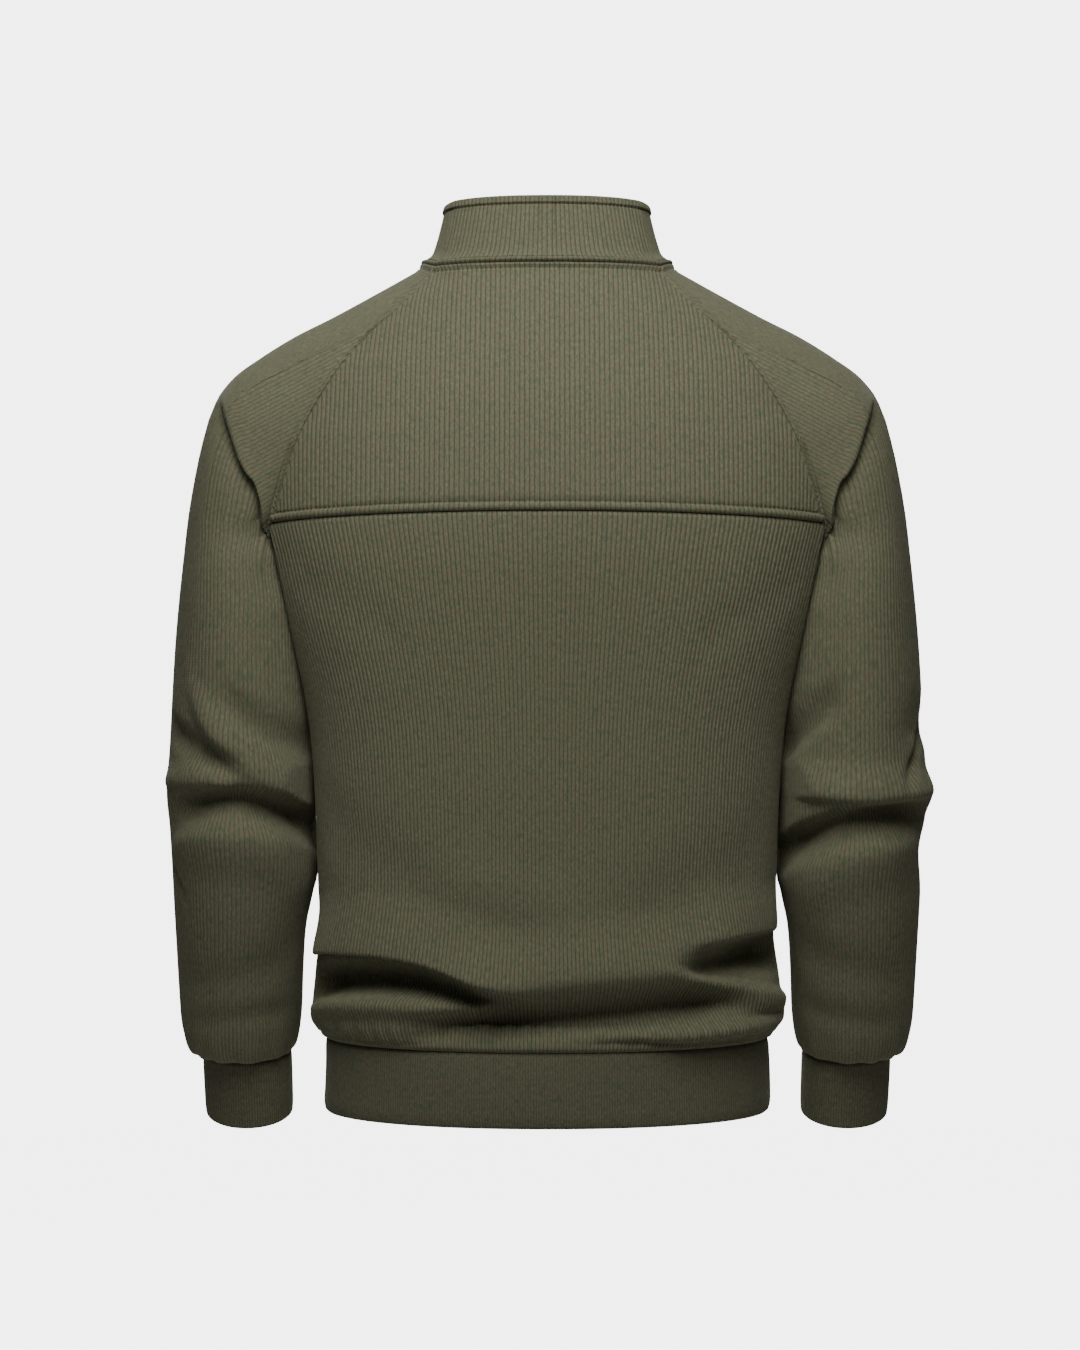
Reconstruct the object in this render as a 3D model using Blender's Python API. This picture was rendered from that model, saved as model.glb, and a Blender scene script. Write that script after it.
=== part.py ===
"""Quarter zip sweater in ribbed knit, filled out as worn, with raglan sleeves and a stand collar.

Metres, +Z up. The origin is on the neck's centre line at the height of the collar seam behind.
The front faces -Y and the wearer's left is +X.
"""

import math

import bmesh
import bpy
import numpy as np
from mathutils import Matrix, Vector

# ---------------------------------------------------------------- driving sizes
CLOTH = 0.0022            # wall of the knit
COLLAR_CLOTH = 0.0040     # the collar is doubled
BAND_CLOTH = 0.0028       # hem band and cuffs
SEAM_GAP = 0.0003
SLEEVE_CLEARANCE = 0.0036  # between the sleeve and the body it hangs against
FIRST_CLEARANCE = 0.0009  # the same, level with the underarm
VALLEY = 0.0030           # how far the sleeve draws back beside the seam in the armpit
VALLEY_RINGS = (0.25, 10.7, 11.4)
SEAM_STEP = 0.40          # longest stretch of seam between two of the sleeve's columns, in rings
OPENING_DROP = 0.016      # how far below the underarm that clearance is whole
RIB_PITCH = 0.0155
RIB_HEIGHT = 0.0009
EDGE_RIB = 0.4            # share of that height at a seam or an edge
BAND_RIB = 0.8            # and on the hem band and the cuffs
INNER_STEP = 4            # half ribs to one face of the plain inside
SIDE_STEPS = 8            # near the sides it follows every second one
SKIVE = 0.0030            # how far the inside stops short of a curved seam
SLEEVE_SKIVE = 0.0060
SKIVE_SHARE = 0.6         # at most this share of the distance to the next row
SEAM_FADE = 0.010         # folds die out over this much at the hem
TOP_FADE = 0.020          # and over this much at the upper seams

YOKE_SEAM = -0.206        # heights of the main seams; the yoke's is this high at its ends
YOKE_BOW = 0.0065         # and rises by so much to the middle
UNDERARM = -0.232
HEM_SEAM = -0.622
HEM_EDGE = -0.6815
NECK_FRONT = -0.075
COLLAR_TOP_BACK = 0.056
COLLAR_TOP_FRONT = -0.010
COLLAR_DROP = (-0.084, 0.060)  # the top edge drops to the front over this much depth, from its end
COLLAR_LEAN = (0.175, 0.125)   # how far the collar draws in across and along, as shares
COLLAR_LEAN_POWER = 0.6
COLLAR_BACKWARD = 0.001

SLIT_HALF = 0.0045        # the zip's slit
SLIT_END = -0.262
CHAIN_HALF = 0.0024
CHAIN_DEPTH = 0.0018
TAPE_DEPTH = 0.0006
TAPE_GAP = 0.0005         # between the tape and the knit's inside
TAPE_INNER = 0.0016
TAPE_OUTER = 0.0145
TAPE_TAIL = 0.012         # the tape runs on below the slit
SLIDER_HEIGHT = -0.024


def table(columns, rows):
    """A table with named columns, each kept as an array."""
    values = np.array(rows, float)
    return {name: values[:, i] for i, name in enumerate(columns.split())}


# Level sections of the body, from the hem seam up: half the width, the depth behind and in front
# of the middle, and how square the section is (2 is an ellipse).
BODY = table("height half_width back front power", [
    (-0.6220, 0.1800, 0.1085, 0.1075, 2.15),
    (-0.6150, 0.1865, 0.1150, 0.1130, 2.15),
    (-0.6040, 0.1915, 0.1180, 0.1160, 2.15),
    (-0.5880, 0.1905, 0.1175, 0.1160, 2.20),
    (-0.5680, 0.1885, 0.1150, 0.1140, 2.20),
    (-0.5300, 0.1845, 0.1090, 0.1090, 2.25),
    (-0.5000, 0.1865, 0.1070, 0.1070, 2.30),
    (-0.4400, 0.1900, 0.1060, 0.1065, 2.35),
    (-0.3800, 0.1950, 0.1065, 0.1075, 2.40),
    (-0.3400, 0.2030, 0.1085, 0.1100, 2.45),
    (-0.3000, 0.2150, 0.1120, 0.1125, 2.50),
    (-0.2620, 0.2250, 0.1160, 0.1150, 2.60),
    (-0.2350, 0.2310, 0.1190, 0.1165, 2.60),
    (-0.2060, 0.2370, 0.1200, 0.1170, 2.60),
    (-0.1450, 0.2425, 0.1140, 0.1060, 2.50),
    (-0.1100, 0.2320, 0.1080, 0.0950, 2.40),
    (-0.0860, 0.2210, 0.1010, 0.0860, 2.40),
    (-0.0600, 0.1900, 0.0930, 0.0760, 2.30),
    (-0.0360, 0.1560, 0.0840, 0.0680, 2.30),
    (-0.0180, 0.1270, 0.0770, 0.0620, 2.30),
    (0.0000, 0.1020, 0.0680, 0.0550, 2.30),
])

# The raglan seams: how far out they are at each height.
BACK_RAGLAN = table("height out", [
    (-0.206, 0.2185), (-0.197, 0.2157), (-0.175, 0.2095), (-0.145, 0.1995), (-0.117, 0.1858),
    (-0.086, 0.1665), (-0.064, 0.1490), (-0.051, 0.1370), (-0.036, 0.1215), (-0.009, 0.0960),
    (0.000, 0.0890),
])
FRONT_RAGLAN = table("height out", [
    (-0.206, 0.2070), (-0.175, 0.1990), (-0.145, 0.1870), (-0.110, 0.1680), (-0.080, 0.1450),
    (-0.055, 0.1220), (-0.035, 0.1020), (-0.018, 0.0840),
])

# Rings of the left sleeve from the neck to the cuff. Each is an ellipse through a point on the
# sleeve's outer line (out, height); lean is the slope of its plane at the shoulder, pitch the
# slope that the forearm's bend gives it. The other columns are its four radii and its middle.
SLEEVE = table("out height lean outer inner back front middle pitch power", [
    (0.1000, 0.0060, 70.0, 0.0560, 0.0450, 0.0600, 0.0560, -0.004, 0.0, 2.0),
    (0.1450, -0.0195, 62.0, 0.0660, 0.0450, 0.0760, 0.0640, -0.004, 0.0, 2.1),
    (0.1750, -0.0360, 60.0, 0.0740, 0.0450, 0.0795, 0.0695, -0.004, 0.0, 2.2),
    (0.2060, -0.0520, 57.0, 0.0750, 0.0450, 0.0820, 0.0740, -0.004, 0.0, 2.3),
    (0.2330, -0.0695, 51.0, 0.0740, 0.0470, 0.0815, 0.0780, -0.003, 0.0, 2.5),
    (0.2550, -0.0865, 42.0, 0.0700, 0.0500, 0.0810, 0.0805, -0.002, 0.0, 2.6),
    (0.2710, -0.1100, 27.0, 0.0600, 0.0560, 0.0795, 0.0830, -0.001, 0.0, 2.7),
    (0.2800, -0.1400, 16.0, 0.0540, 0.0560, 0.0775, 0.0835, 0.000, 0.0, 2.7),
    (0.2860, -0.1670, 10.0, 0.0500, 0.0550, 0.0760, 0.0820, 0.000, 0.0, 2.6),
    (0.2920, -0.2000, 5.0, 0.0480, 0.0500, 0.0740, 0.0780, 0.000, 0.0, 2.4),
    (0.2960, -0.2320, 0.0, 0.0475, 0.0475, 0.0740, 0.0740, 0.000, 0.0, 2.2),
    (0.2995, -0.2620, 0.0, 0.0505, 0.0505, 0.0740, 0.0740, 0.000, 0.0, 2.1),
    (0.3030, -0.2980, 0.0, 0.0530, 0.0530, 0.0730, 0.0730, 0.000, 0.0, 2.0),
    (0.3060, -0.3470, 0.0, 0.0555, 0.0555, 0.0700, 0.0700, 0.000, 0.0, 2.0),
    (0.3080, -0.3850, 0.0, 0.0570, 0.0570, 0.0670, 0.0670, 0.000, 2.0, 2.0),
    (0.3105, -0.4210, 0.0, 0.0585, 0.0585, 0.0660, 0.0660, 0.000, 5.0, 2.0),
    (0.3085, -0.4500, 0.0, 0.0575, 0.0575, 0.0645, 0.0645, -0.004, 9.0, 2.0),
    (0.3075, -0.4800, 0.0, 0.0565, 0.0565, 0.0620, 0.0620, -0.010, 12.0, 2.0),
    (0.3070, -0.5120, 0.0, 0.0550, 0.0550, 0.0600, 0.0600, -0.018, 14.0, 2.0),
    (0.3065, -0.5460, 0.0, 0.0525, 0.0525, 0.0570, 0.0570, -0.028, 15.0, 2.0),
    (0.3060, -0.5800, 0.0, 0.0510, 0.0510, 0.0540, 0.0540, -0.038, 15.0, 2.0),
    (0.3055, -0.6060, 0.0, 0.0500, 0.0500, 0.0520, 0.0520, -0.046, 14.0, 2.0),
    (0.3035, -0.6250, 0.0, 0.0475, 0.0475, 0.0500, 0.0500, -0.051, 12.0, 2.0),
    (0.2985, -0.6370, 0.0, 0.0430, 0.0430, 0.0450, 0.0450, -0.054, 11.0, 2.0),
    (0.2880, -0.6410, 0.0, 0.0365, 0.0365, 0.0350, 0.0350, -0.055, 11.0, 2.0),
])
ARMPIT_RING = 10.0
MEETING_FADE = 0.6        # rings below the armpit in which the sleeve takes its own shape
FIRST_WHOLE_RING = 11.0

# Rings of the left cuff: middle, half width, half depth and pitch.
CUFF = table("across along height half_width half_depth pitch", [
    (0.2515, -0.0550, -0.6415, 0.0365, 0.0345, 11.0),
    (0.2515, -0.0580, -0.6530, 0.0368, 0.0330, 13.0),
    (0.2515, -0.0690, -0.6850, 0.0366, 0.0320, 17.0),
    (0.2515, -0.0725, -0.6960, 0.0358, 0.0312, 18.0),
])

# Folds of the lower back: their line runs from one place across (start, middle, end, metres from
# the centre back, the wearer's left positive) at three heights. Height is how far the cloth
# stands out there, and above and below are the fold's half widths.
FOLD_COLUMNS = "start end start_level middle_level end_level rise above below"
BACK_FOLDS = table(FOLD_COLUMNS, [
    (0.290, 0.020, -0.556, -0.544, -0.566, 0.0060, 0.016, 0.010),
    (0.290, 0.020, -0.574, -0.562, -0.580, -0.0110, 0.010, 0.014),
    (0.290, -0.010, -0.604, -0.584, -0.586, 0.0050, 0.012, 0.014),
    (0.080, -0.180, -0.584, -0.572, -0.556, 0.0055, 0.016, 0.012),
    (0.080, -0.200, -0.602, -0.594, -0.578, -0.0095, 0.010, 0.014),
    (0.150, -0.150, -0.611, -0.610, -0.611, -0.0035, 0.012, 0.006),
    (-0.060, -0.260, -0.612, -0.606, -0.608, 0.0040, 0.008, 0.008),
    (-0.120, -0.270, -0.548, -0.552, -0.560, -0.0060, 0.012, 0.012),
])
FRONT_FOLDS = table(FOLD_COLUMNS, [
    (0.250, -0.030, -0.566, -0.556, -0.574, 0.0055, 0.016, 0.010),
    (0.250, -0.030, -0.584, -0.574, -0.590, -0.0090, 0.010, 0.014),
    (0.060, -0.250, -0.560, -0.572, -0.562, 0.0055, 0.016, 0.010),
    (0.060, -0.250, -0.578, -0.592, -0.582, -0.0090, 0.010, 0.014),
])

# Folds of the sleeves, by the angle round the sleeve: 0 is its outer line, minus is behind.
LEFT_FOLDS = table(FOLD_COLUMNS, [
    (-40.0, -175.0, -0.330, -0.400, -0.407, 0.0050, 0.016, 0.011),
    (5.0, -95.0, -0.366, -0.376, -0.412, -0.0050, 0.013, 0.013),
    (-35.0, -170.0, -0.434, -0.412, -0.444, -0.0070, 0.008, 0.016),
    (45.0, -100.0, -0.414, -0.404, -0.402, 0.0030, 0.012, 0.010),
    (40.0, 150.0, -0.372, -0.398, -0.380, -0.0060, 0.012, 0.012),
    (30.0, 165.0, -0.400, -0.424, -0.410, 0.0045, 0.013, 0.011),
    (40.0, 150.0, -0.430, -0.450, -0.436, -0.0060, 0.010, 0.014),
])
RIGHT_FOLDS = table(FOLD_COLUMNS, [
    (-50.0, -175.0, -0.408, -0.414, -0.396, 0.0050, 0.014, 0.010),
    (30.0, -75.0, -0.350, -0.375, -0.404, -0.0055, 0.012, 0.010),
    (60.0, -60.0, -0.420, -0.418, -0.412, 0.0055, 0.014, 0.012),
    (-20.0, -175.0, -0.430, -0.436, -0.474, -0.0070, 0.008, 0.016),
    (40.0, 150.0, -0.366, -0.392, -0.384, -0.0060, 0.012, 0.012),
    (30.0, 165.0, -0.404, -0.420, -0.402, 0.0040, 0.013, 0.011),
    (30.0, 150.0, -0.436, -0.446, -0.440, -0.0060, 0.010, 0.014),
])

# Where the shoulder's cloth laps over the arm: the ring it is on at each angle from the outer line.
CAP_CREASE = table("angle ring depth", [
    (0.0, 6.0, 0.0), (30.0, 6.0, 0.0), (43.0, 6.15, 0.6), (61.0, 6.7, 1.0), (88.0, 7.9, 1.0),
    (103.0, 8.8, 1.0), (115.0, 9.4, 0.3), (128.0, 9.9, 0.0), (150.0, 10.3, 0.0),
    (180.0, 10.5, 0.0),
])
CAP_LIP = 0.0030
CAP_DROP = 0.0050
CAP_STEP = 0.35           # least distance from the seam to the lap, in rings
CAP_RING = 0.030          # length of one ring's step there
CAP_LIP_REACH = 0.014
CAP_DROP_REACH = 0.016
LAP_HALF = 0.06           # half the lap's height, in rings
LAP_SHARE = 0.45          # where the row below the lap is, as a share of the way to a whole ring

# Heights of the rows of points in each panel.
LOWER_ROWS = (-0.245, -0.295, -0.390, -0.500, -0.535, -0.550, -0.563, -0.575,
              -0.588, -0.602, -0.614, HEM_SEAM)
UPPER_SHARES = (1.0, 0.80, 0.55, 0.28)
FRONT_SHARES = (1.0, 0.72, 0.36)
CAP_SHARES = (0.0, 0.30, 0.68)
ARM_ROWS = (-0.262, -0.318, -0.358, -0.380, -0.395, -0.407, -0.419, -0.432, -0.450,
            -0.490, -0.580, -0.625, -0.637, -0.641)
YOKE_WELT = ((0.0, 0.0016), (0.0030, 0.0024), (0.0065, 0.0))   # distance up, rise
YOKE_INNER_ROWS = (0, 1, 2, 3, 4, 6)
YOKE_END = 0.011          # how tall the yoke's last column is

# Looks: colour, roughness and how metallic.
KNIT = ((0.098, 0.102, 0.068, 1.0), 0.95, 0.0)
KNIT_BAND = ((0.088, 0.092, 0.060, 1.0), 0.95, 0.0)
TAPE = ((0.075, 0.078, 0.052, 1.0), 0.9, 0.0)
METAL = ((0.235, 0.230, 0.215, 1.0), 0.4, 1.0)


# ---------------------------------------------------------------- curves through the tables
def smooth(at, places, values):
    """A monotone cubic through (places, values), flat beyond its ends; places rise."""
    at = np.clip(np.asarray(at, float), places[0], places[-1])
    step = np.diff(places)
    slope = np.diff(values) / step
    tangent = np.empty(len(places))
    tangent[0] = slope[0]
    tangent[-1] = slope[-1]
    before = slope[:-1]
    after = slope[1:]
    same_way = before * after > 0
    total = np.where(same_way, before + after, 1.0)
    tangent[1:-1] = np.where(same_way, 2 * before * after / total, 0.0)
    i = np.clip(np.searchsorted(places, at, side="right") - 1, 0, len(places) - 2)
    t = (at - places[i]) / step[i]
    rest = 1 - t
    ends = values[i] * rest * rest * (1 + 2 * t) + values[i + 1] * t * t * (3 - 2 * t)
    bends = step[i] * (tangent[i] * t * rest * rest - tangent[i + 1] * t * t * rest)
    return ends + bends


def unit(vectors):
    """The vectors, each made one long."""
    length = np.linalg.norm(vectors, axis=-1, keepdims=True)
    return vectors / np.maximum(length, 1e-12)


def ease(t):
    """0 to 1 with soft ends."""
    t = np.clip(t, 0.0, 1.0)
    return t * t * (3 - 2 * t)


def fold_rise(folds, across, level):
    """How far the folds of a table lift the cloth at each place across and level."""
    rise = np.zeros(np.broadcast(across, level).shape)
    for start, end, first, middle, last, height, above, below in zip(*folds.values()):
        t = (across - start) / (end - start)
        line = first * (1 - t) * (1 - 2 * t) + middle * 4 * t * (1 - t) + last * t * (2 * t - 1)
        away = level - line
        width = np.where(away > 0, above, below)
        inside = np.clip(1 - np.abs(away) / (2 * width), 0.0, 1.0)
        rise = rise + height * ease(inside) * ease(t / 0.25) * ease((1 - t) / 0.25)
    return rise


# ---------------------------------------------------------------- sleeve rings
RING_NUMBERS = np.arange(len(SLEEVE["out"]), dtype=float)


def ring_value(name, ring):
    return smooth(ring, RING_NUMBERS, SLEEVE[name])


def plain_ring(ring, angle):
    """A point on the left sleeve's ring at an angle in degrees, before its seams are met."""
    lean = np.radians(ring_value("lean", ring))
    turn = np.radians(angle)
    squareness = 2 / ring_value("power", ring)
    outer = ring_value("outer", ring)
    radius = np.where(np.cos(turn) > 0, outer, ring_value("inner", ring))
    reach = outer - radius * np.sign(np.cos(turn)) * np.abs(np.cos(turn)) ** squareness
    depth = np.where(turn < 0, ring_value("back", ring), ring_value("front", ring))
    along = -depth * np.sign(np.sin(turn)) * np.abs(np.sin(turn)) ** squareness
    x = ring_value("out", ring) - reach * np.cos(lean)
    y = ring_value("middle", ring) + along
    z = ring_value("height", ring) - reach * np.sin(lean)
    z = z - along * np.tan(np.radians(ring_value("pitch", ring)))
    return np.stack(np.broadcast_arrays(x, y, z), axis=-1)


# ---------------------------------------------------------------- body sections
SECTION_POINTS = 161
SECTION_STEP = 0.002
SECTION_TOP = 0.0121
SECTION_HEIGHTS = np.arange(HEM_EDGE, SECTION_TOP, SECTION_STEP)
SECTION_SHARES = np.linspace(0.0, 1.0, SECTION_POINTS)


def pushed_clear(x, y, height):
    """Points of a body section moved out of the space that the hanging sleeve takes."""
    level = min(height, UNDERARM)
    hanging = slice(int(ARMPIT_RING), None)
    ring = float(np.interp(-level, -SLEEVE["height"][hanging], RING_NUMBERS[hanging]))
    opened = ease((UNDERARM - level) / OPENING_DROP)
    clearance = FIRST_CLEARANCE + (SLEEVE_CLEARANCE - FIRST_CLEARANCE) * opened
    half_width = ring_value("inner", ring) + clearance
    half_depth = np.where(y > 0, ring_value("back", ring), ring_value("front", ring)) + clearance
    power = ring_value("power", ring)
    middle_x = ring_value("out", ring) - ring_value("outer", ring)
    middle_y = ring_value("middle", ring)
    across = np.abs(x - middle_x) / half_width
    along = np.abs(y - middle_y) / half_depth
    reach = (across ** power + along ** power) ** (1 / power)
    clear = (reach ** 14 + 1) ** (1 / 14) / np.maximum(reach, 1e-6)
    return middle_x + (x - middle_x) * clear, middle_y + (y - middle_y) * clear


def body_sections(depth_name, facing):
    """The half sections at every height: x and y at even shares of their length, and that length."""
    turn = np.linspace(0.0, math.pi / 2, 400)
    xs, ys, lengths = [], [], []
    for height in SECTION_HEIGHTS:
        power = 2 / smooth(height, BODY["height"], BODY["power"])
        x = smooth(height, BODY["height"], BODY["half_width"]) * np.sin(turn) ** power
        y = facing * smooth(height, BODY["height"], BODY[depth_name]) * np.cos(turn) ** power
        x, y = pushed_clear(x, y, height)
        x = x - x[0]
        run = np.concatenate([[0.0], np.cumsum(np.hypot(np.diff(x), np.diff(y)))])
        xs.append(np.interp(SECTION_SHARES * run[-1], run, x))
        ys.append(np.interp(SECTION_SHARES * run[-1], run, y))
        lengths.append(run[-1])
    return np.array(xs), np.array(ys), np.array(lengths)


def between(grid, height, share):
    """Read a grid of heights and shares between its points."""
    row = np.clip((height - SECTION_HEIGHTS[0]) / SECTION_STEP, 0, len(SECTION_HEIGHTS) - 1.001)
    column = np.clip(share * (SECTION_POINTS - 1), 0, SECTION_POINTS - 1.001)
    r = row.astype(int)
    c = column.astype(int)
    a = row - r
    b = column - c
    low = grid[r, c] * (1 - b) + grid[r, c + 1] * b
    high = grid[r + 1, c] * (1 - b) + grid[r + 1, c + 1] * b
    return low * (1 - a) + high * a


class Side:
    """The back or the front of the body: its sections, its raglan seam and its surface."""

    def __init__(self, depth_name, facing, raglan, neck_height, folds):
        self.facing = facing
        self.folds = folds
        self.neck_height = neck_height
        self.xs, self.ys, self.lengths = body_sections(depth_name, facing)
        self.full = float(np.interp(YOKE_SEAM, SECTION_HEIGHTS, self.lengths))
        heights = np.linspace(raglan["height"][-1], YOKE_SEAM, 60)
        out = smooth(heights, raglan["height"], raglan["out"])
        length = np.interp(heights, SECTION_HEIGHTS, self.lengths)
        across = []
        for height, x, whole in zip(heights, out, length):
            row = between(self.xs, np.full(SECTION_POINTS, height), SECTION_SHARES)
            widest = int(np.argmax(row)) + 1
            across.append(np.interp(x, row[:widest], SECTION_SHARES[:widest]) * whole)
        self.neck_across = across[0]
        self.corner = across[-1]
        below = np.linspace(0.0, 1.0, 25)[1:]
        self.seam_across = np.concatenate([across, self.corner + (self.full - self.corner) * below])
        drop = YOKE_SEAM + (UNDERARM - YOKE_SEAM) * below ** 1.2
        self.seam_height = np.concatenate([heights, drop])

    def yoke_level(self, across):
        """Height of the yoke's seam, which rises a little to the middle."""
        return YOKE_SEAM + YOKE_BOW * np.clip(1 - (across / self.corner) ** 2, 0.0, 1.0)

    def top(self, across):
        """Height of the panel's upper edge: the neck's curve, then the raglan seam."""
        across = np.abs(across)
        share = np.minimum(across / self.neck_across, 1.0)
        neck = self.neck_height + (self.seam_height[0] - self.neck_height) * share ** 2.2
        seam = np.interp(across, self.seam_across, self.seam_height)
        return np.where(across < self.neck_across, neck, seam)

    def level_point(self, across, height):
        """A point of the body, across it by a length measured at the yoke seam."""
        across, height = np.broadcast_arrays(np.asarray(across, float), np.asarray(height, float))
        length = np.interp(height, SECTION_HEIGHTS, self.lengths)
        share = np.abs(across) / np.where(height > YOKE_SEAM, length, self.full)
        x = np.sign(across) * between(self.xs, height, share)
        y = between(self.ys, height, share)
        return np.stack([x, y, height], axis=-1)

    def normal(self, across, height, point=None):
        """The way out of the cloth."""
        point = point or self.level_point
        step = 0.0015
        along = point(across + step, height) - point(across - step, height)
        up = point(across, height + step) - point(across, height - step)
        return unit(np.cross(up, along) * self.facing)

    def point(self, across, height):
        """The body with its folds, which die out at the seams."""
        flat = self.level_point(across, height)
        live = ease((height - HEM_SEAM) / SEAM_FADE) * ease((self.top(across) - height) / TOP_FADE)
        rise = fold_rise(self.folds, across, height) * live
        return flat + rise[..., None] * self.normal(across, height)


BACK = Side("back", 1, BACK_RAGLAN, 0.0, BACK_FOLDS)
FRONT = Side("front", -1, FRONT_RAGLAN, NECK_FRONT, FRONT_FOLDS)


# ---------------------------------------------------------------- where the sleeve meets the body
class SleeveSeam:
    """One raglan seam: where each ring meets it, and the frames that both cloths take there."""

    def __init__(self, side):
        self.side = side
        self.across = side.seam_across
        self.height = side.seam_height
        self.points = side.level_point(self.across, self.height)
        self.body_out = side.normal(np.minimum(self.across, side.full - 0.002), self.height)
        rings = np.arange(1.0, ARMPIT_RING + 1)
        lean = np.radians(ring_value("lean", rings))
        met = [0]
        for ring, slope in zip(rings, lean):
            along = np.array([math.sin(slope), 0.0, -math.cos(slope)])
            edge = np.array([ring_value("out", ring), 0.0, ring_value("height", ring)])
            ahead = (self.points - edge) @ along
            met.append(float(np.interp(0.0, ahead, np.arange(len(ahead)))))
        met[-1] = len(self.points) - 1
        self.rings = np.arange(0.0, ARMPIT_RING + 1)
        self.places = np.array(met, float)
        meeting = self.read(self.points, self.rings)
        self.angles = self.angle_of(meeting)
        self.angles[-1] = 180.0

    def read(self, values, ring):
        """Values kept along the seam, read where a ring meets it."""
        place = smooth(ring, self.rings, self.places)
        i = np.clip(place.astype(int), 0, len(values) - 2)
        t = (place - i)[..., None]
        return values[i] * (1 - t) + values[i + 1] * t

    def angle_of(self, meeting):
        lean = np.radians(ring_value("lean", self.rings))
        outer = ring_value("outer", self.rings)
        middle_x = ring_value("out", self.rings) - outer * np.cos(lean)
        middle_z = ring_value("height", self.rings) - outer * np.sin(lean)
        reach = (meeting[:, 0] - middle_x) * np.cos(lean) + (meeting[:, 2] - middle_z) * np.sin(lean)
        radius = np.where(reach > 0, outer, ring_value("inner", self.rings))
        name = "back" if self.side.facing > 0 else "front"
        depth = np.abs(meeting[:, 1] - ring_value("middle", self.rings))
        power = ring_value("power", self.rings) / 2
        round_part = (depth / ring_value(name, self.rings)) ** power
        out_part = np.sign(reach) * np.abs(reach / radius) ** power
        return np.degrees(np.arctan2(round_part, out_part))

    def angle(self, ring):
        return smooth(ring, self.rings, self.angles)

    def ring(self, angle):
        """The ring whose end is at this angle."""
        fine = np.linspace(0.0, ARMPIT_RING, 400)
        return np.interp(angle, np.maximum.accumulate(self.angle(fine)), fine)


BACK_SEAM = SleeveSeam(BACK)
FRONT_SEAM = SleeveSeam(FRONT)


def met_ring(ring, angle):
    """The left sleeve's ring, drawn to its raglan seams."""
    point = plain_ring(ring, angle)
    upper = np.minimum(ring, ARMPIT_RING)
    fade = ease(1 - (ring - ARMPIT_RING) / MEETING_FADE)
    for seam, sign in ((BACK_SEAM, -1), (FRONT_SEAM, 1)):
        end = seam.angle(upper)
        miss = seam.read(seam.points, upper) - plain_ring(upper, sign * end)
        share = np.clip(np.abs(angle) / end, 0.0, 1.0) ** 2
        here = np.where(np.sign(angle) == sign, share * fade, 0.0)
        point = point + miss * here[..., None]
    return point


def ring_normal(ring, angle, shape=met_ring):
    """The way out of the sleeve's cloth."""
    step_angle = 1.0
    step_ring = 0.04
    round_it = shape(ring, angle + step_angle) - shape(ring, angle - step_angle)
    down = shape(ring + step_ring, angle) - shape(np.maximum(ring - step_ring, 0.0), angle)
    return unit(np.cross(round_it, down))


def finish_seam(seam, sign):
    """Frames along a seam: how flat the two cloths meet, and each one's way out at its edge."""
    upper = np.interp(np.arange(len(seam.points)), seam.places, seam.rings)
    angle = sign * seam.angle(upper)
    sleeve_out = ring_normal(np.maximum(upper, 0.05), angle * 0.985)
    flat = np.clip(np.sum(sleeve_out * seam.body_out, axis=1), 0.0, 1.0)[:, None]
    seam.flat = flat
    seam.body_edge_out = unit(seam.body_out + flat * sleeve_out)
    seam.sleeve_edge_out = unit(sleeve_out + flat * seam.body_out)
    top = plain_ring(upper, np.zeros(len(upper)))
    tangent = unit(np.gradient(seam.points, axis=0))
    toward = top - seam.points
    out = seam.sleeve_edge_out
    toward = toward - flat * out * np.sum(toward * out, axis=1, keepdims=True)
    toward = toward - tangent * np.sum(toward * tangent, axis=1, keepdims=True)
    seam.sleeve_way = unit(toward)
    seam.tangent = tangent
    inward = np.cross(tangent, seam.body_edge_out)
    seam.body_way = unit(inward * np.sign(-inward[:, :1] - inward[:, 2:]))


finish_seam(BACK_SEAM, -1)
finish_seam(FRONT_SEAM, 1)


# ---------------------------------------------------------------- walls
def new_material(name, colour, roughness, metallic):
    material = bpy.data.materials.new(name)
    material.use_nodes = True
    shader = material.node_tree.nodes["Principled BSDF"]
    shader.inputs["Base Color"].default_value = colour
    shader.inputs["Roughness"].default_value = roughness
    shader.inputs["Metallic"].default_value = metallic
    material.diffuse_color = colour
    return material


def add_object(name, mesh, look, collection):
    """An object with its own material, in one of the four looks."""
    mesh.materials.append(new_material(name, *look))
    thing = bpy.data.objects.new(name, mesh)
    collection.objects.link(thing)
    return thing


def coarse_steps(count, step, centres=(0,), close=0):
    """Every step-th index out from the centres, and every second one this close to the ends."""
    right = set(range(centres[-1], count, step))
    left = set(range(centres[0], -1, -step))
    ends = {i for i in range(0, close + 1, 2)} | {count - 1 - i for i in range(0, close + 1, 2)}
    return sorted(right | left | ends)


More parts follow.
